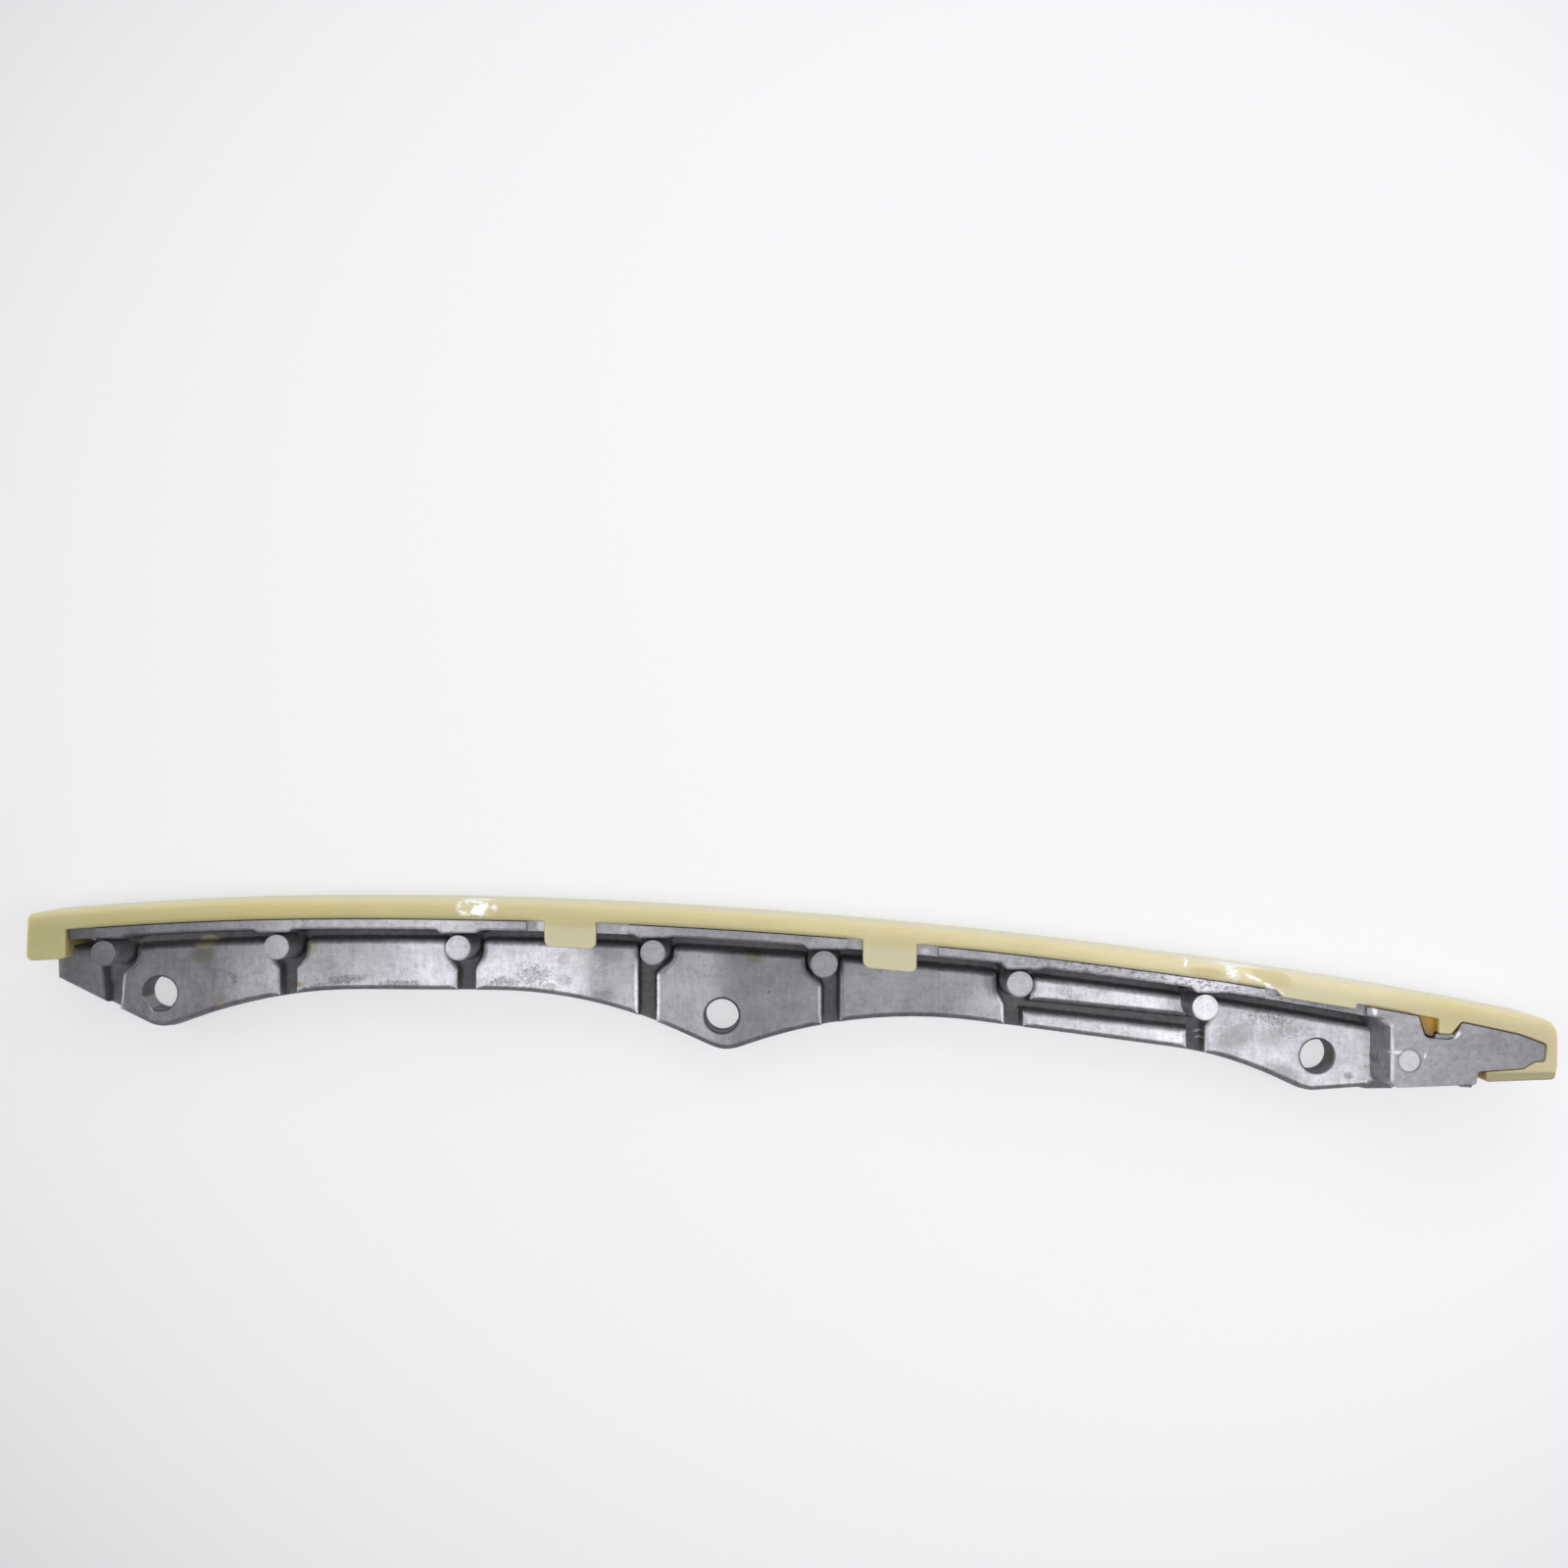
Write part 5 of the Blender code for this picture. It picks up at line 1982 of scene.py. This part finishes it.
        # Painted light: lighter along the strip's top edge.
        colour = graph.mix(depth.fall(0.2, 1.5) * 0.35, colour, self.lit_top_edge_colour)
        ends = x.maths("ABSOLUTE", x).rise(*self.ends_x)
        clips = depth.rise(*self.clip_depth) * (1.0 - ends)
        colour = graph.mix(clips * 0.7, colour, self.clip_colour)

        # Painted light coming through the nylon: the peg's left side and the arm's end turn deep yellow,
        # darker where less light comes through, and give off a little light; so does the lower front rim
        # towards the right end.
        hidden = at.across.fall(-0.2, 0.45) * up.fall(0.25, 0.75) * z.fall(17.2, 17.9)
        along, across, high = self.peg
        peg = z.fall(*high) * x.within(*along, 0.15) * y.within(*across, 0.6)
        along, across, high = self.arm_end
        arm_end = hidden * x.within(*along) * y.fall(*across) * z.rise(*high)
        along, across = self.peg_light
        through_peg = peg * (y.rise(*across) * 0.8 + 0.2) * (x.rise(*along) * 0.6 + 0.4)
        lit_through = through_peg.highest(arm_end * 0.6)
        edge = at.across.fall(-0.5, -0.15) * up.fall(0.9, 0.97) * z.rise(16.4, 17.2) * x.rise(84.0, 96.0)
        backlit_amber = graph.mix(lit_through, self.shaded_brown, self.backlit_amber)
        colour = graph.mix(peg.highest(arm_end).highest(edge * 0.5), colour, backlit_amber)
        # Painted shade: the hidden inner face of the left hook is dark.
        shaded_jaw = hidden * x.fall(*self.inner_left_x) * z.fall(13.0, 16.0)
        colour = graph.mix(shaded_jaw, colour, self.jaw_shade_colour)

        near = z.rise(*self.film_z)
        film = graph.spots(p, self.film, ragged - 0.5) * near
        # Oil-darkened nylon and painted dark reflection.
        soaked_and_reflection = graph.spots(p, self.soaked_and_reflection, ragged - 0.5) * near
        colour = graph.mix(soaked_and_reflection, colour, self.soaked_and_reflection_colour)
        # Painted highlights: white glints on the oil film.
        colour = graph.mix(film * crease.rise(0.44, 0.52) * 0.95, colour, self.glint_colour)

        graph.surface(
            Base_Color=colour,
            Roughness=0.36 + (streak - 0.5) * 0.2 + (grain - 0.5) * 0.1 - film * 0.2,
            Coat_Weight=film * 0.8 + 0.05,
            # Painted light: emission that stands in for light coming through the nylon.
            Emission_Color=graph.mix(lit_through.highest(edge * 0.35), BLACK, self.painted_glow),
            Emission_Strength=1.0,
            Normal=graph.bumped(grain * 0.15 + streak * 0.5 + film * crease * 2.2, 0.10, 0.5),
            Subsurface_Weight=0.5,
            Subsurface_Radius=(1.0, 0.72, 0.28),
            Subsurface_Scale=0.0035,
            IOR=1.5,
        )
        return graph.material


# Studio


COOL = (0.99, 0.985, 1.0)
COOLER = (0.98, 0.985, 1.0)


@dataclass(frozen=True)
class SoftBox:
    """A rectangular lamp: its place and size in metres, where it points, its power and its colour."""

    name: str
    place: tuple[float, float, float]
    size: tuple[float, float]
    aim: tuple[float, float, float]
    watts: float
    colour: Colour = (1.0, 1.0, 1.0)

    def hang(self) -> Piece:
        """Adds the lamp to the scene.

        Returns:
            The lamp.
        """
        data = bpy.data.lights.new(self.name, "AREA")
        data.shape = "RECTANGLE"
        data.size, data.size_y = self.size
        data.energy = self.watts
        data.color = self.colour
        made = in_scene(self.name, data)
        made.location = self.place
        made.rotation_euler = (Vector(self.aim) - Vector(self.place)).to_track_quat("-Z", "Y").to_euler()
        return made


@dataclass
class Studio:
    """Pale floor, soft lamps and the camera straight above the guide."""

    camera_height: float = 417.6
    lens: float = 45.0
    sensor: float = 36.0
    sky: float = 0.365
    sky_colour: tuple[float, float, float, float] = (0.95, 0.97, 1.0, 1.0)
    floor_shown: float = 0.6
    floor_size: float = 3.0
    floor_drop: float = 0.00005
    floor_reach: float = 165.0
    floor_level: float = 1.004
    # Painted light on the floor: how it grows to the right and top, and falls towards the corners.
    floor_light_slope: Point = (0.10, 0.03)
    floor_light_falloff: float = 0.056
    floor_tint: Colour = (0.978, 0.976, 1.0)
    paper: tuple[float, float, float, float] = (0.9, 0.9, 0.91, 1.0)
    lamps: tuple[SoftBox, ...] = (
        SoftBox("left_box", (-0.15, 0.0, 0.52), (0.16, 0.40), (-0.06, 0.0, 0.0), 0.48, COOL),
        SoftBox("right_box", (0.19, 0.0, 0.52), (0.18, 0.40), (0.07, -0.01, 0.0), 0.65, COOL),
        SoftBox("rear_box", (0.0, 0.62, 0.45), (0.9, 0.35), (0.0, 0.0, 0.0), 1.9, COOLER),
        SoftBox("left_strip", (-0.50, 0.02, 0.16), (0.5, 0.22), (-0.08, 0.0, 0.0), 0.7),
        SoftBox("right_strip", (0.52, 0.02, 0.16), (0.5, 0.22), (0.10, 0.0, 0.0), 0.6),
    )

    def camera(self) -> None:
        """Sets up the camera at the photograph's viewing angle."""
        data = bpy.data.cameras.new("camera")
        data.lens = self.lens
        data.sensor_width = self.sensor
        made = in_scene("camera", data)
        made.location = placed(0.0, 0.0, self.camera_height)
        bpy.context.scene.camera = made

    def world(self) -> None:
        """A plain pale sky all round."""
        world = bpy.data.worlds.new("sky")
        bpy.context.scene.world = world
        world.use_nodes = True
        background = world.node_tree.nodes["Background"]
        background.inputs["Color"].default_value = self.sky_colour
        background.inputs["Strength"].default_value = self.sky

    def floor(self) -> None:
        """A large floor that shows pale to the camera, with painted light that is lighter to the right and
        top and darker towards the corners, and keeps part of the guide's shadow.
        """
        mesh = bmesh.new()
        bmesh.ops.create_grid(mesh, x_segments=1, y_segments=1, size=self.floor_size)
        made = linked("floor", mesh)
        made.location.z = -self.floor_drop
        graph = ShaderGraph("paper")
        path = graph.node("ShaderNodeLightPath", {}, {}).outputs
        rays = ("Is Camera Ray", "Is Glossy Ray", "Is Transmission Ray")
        seen = reduce(Value.highest, [Value(graph, path[name]) for name in rays])
        x, y, _ = graph.parts(graph.places())
        share = 1.0 / self.floor_reach
        across, up = x * share, (y - DRAWING_SHIFT[1]) * share
        edge = across * across + up * up
        to_right, to_top = self.floor_light_slope
        # Painted light on the floor: lighter to the right and top, darker towards the corners.
        painted_floor_light = self.floor_level + across * to_right + up * to_top - edge * edge * self.floor_light_falloff
        tint = graph.mix(painted_floor_light, BLACK, self.floor_tint)
        # The floor's emission carries this painted light.
        painted_glow = graph.node("ShaderNodeEmission", {}, {"Color": tint, "Strength": 1.0}).outputs[0]
        paper = graph.node("ShaderNodeBsdfDiffuse", {}, {"Color": self.paper}).outputs[0]
        blend = graph.node("ShaderNodeMixShader", {}, {0: seen * self.floor_shown, 1: paper, 2: painted_glow})
        output = graph.tree.nodes["Material Output"]
        graph.tree.links.new(blend.outputs[0], output.inputs["Surface"])
        graph.tree.nodes.remove(graph.shader)
        made.data.materials.append(graph.material)

    def build(self) -> None:
        """Sets up the whole studio."""
        bpy.context.scene.view_settings.view_transform = "Standard"
        self.camera()
        self.world()
        self.floor()
        for lamp in self.lamps:
            lamp.hang()


def seat_in_frame(piece: Piece, node: str) -> None:
    """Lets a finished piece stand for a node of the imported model.

    Args:
        piece: the finished piece.
        node: the node that it replaces.
    """
    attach(piece, "root")
    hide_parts(node)
    LOG.info("%s stands for %s with %d faces", piece.name, node, len(piece.data.polygons))


def main() -> None:
    """Builds the studio, the bracket and the slipper in order."""
    logging.basicConfig(level=logging.INFO, format="%(message)s")
    Studio().build()
    drawing = GuideDrawing()
    block = EndBlock()
    bracket = CastBracket(drawing, block).build(CastAluminium(drawing).material())
    seat_in_frame(bracket, "guide_bracket")
    slipper = NylonSlipper(drawing, block).build(NaturalNylon(drawing).material())
    seat_in_frame(slipper, "slipper")


if __name__ == "__main__":
    main()
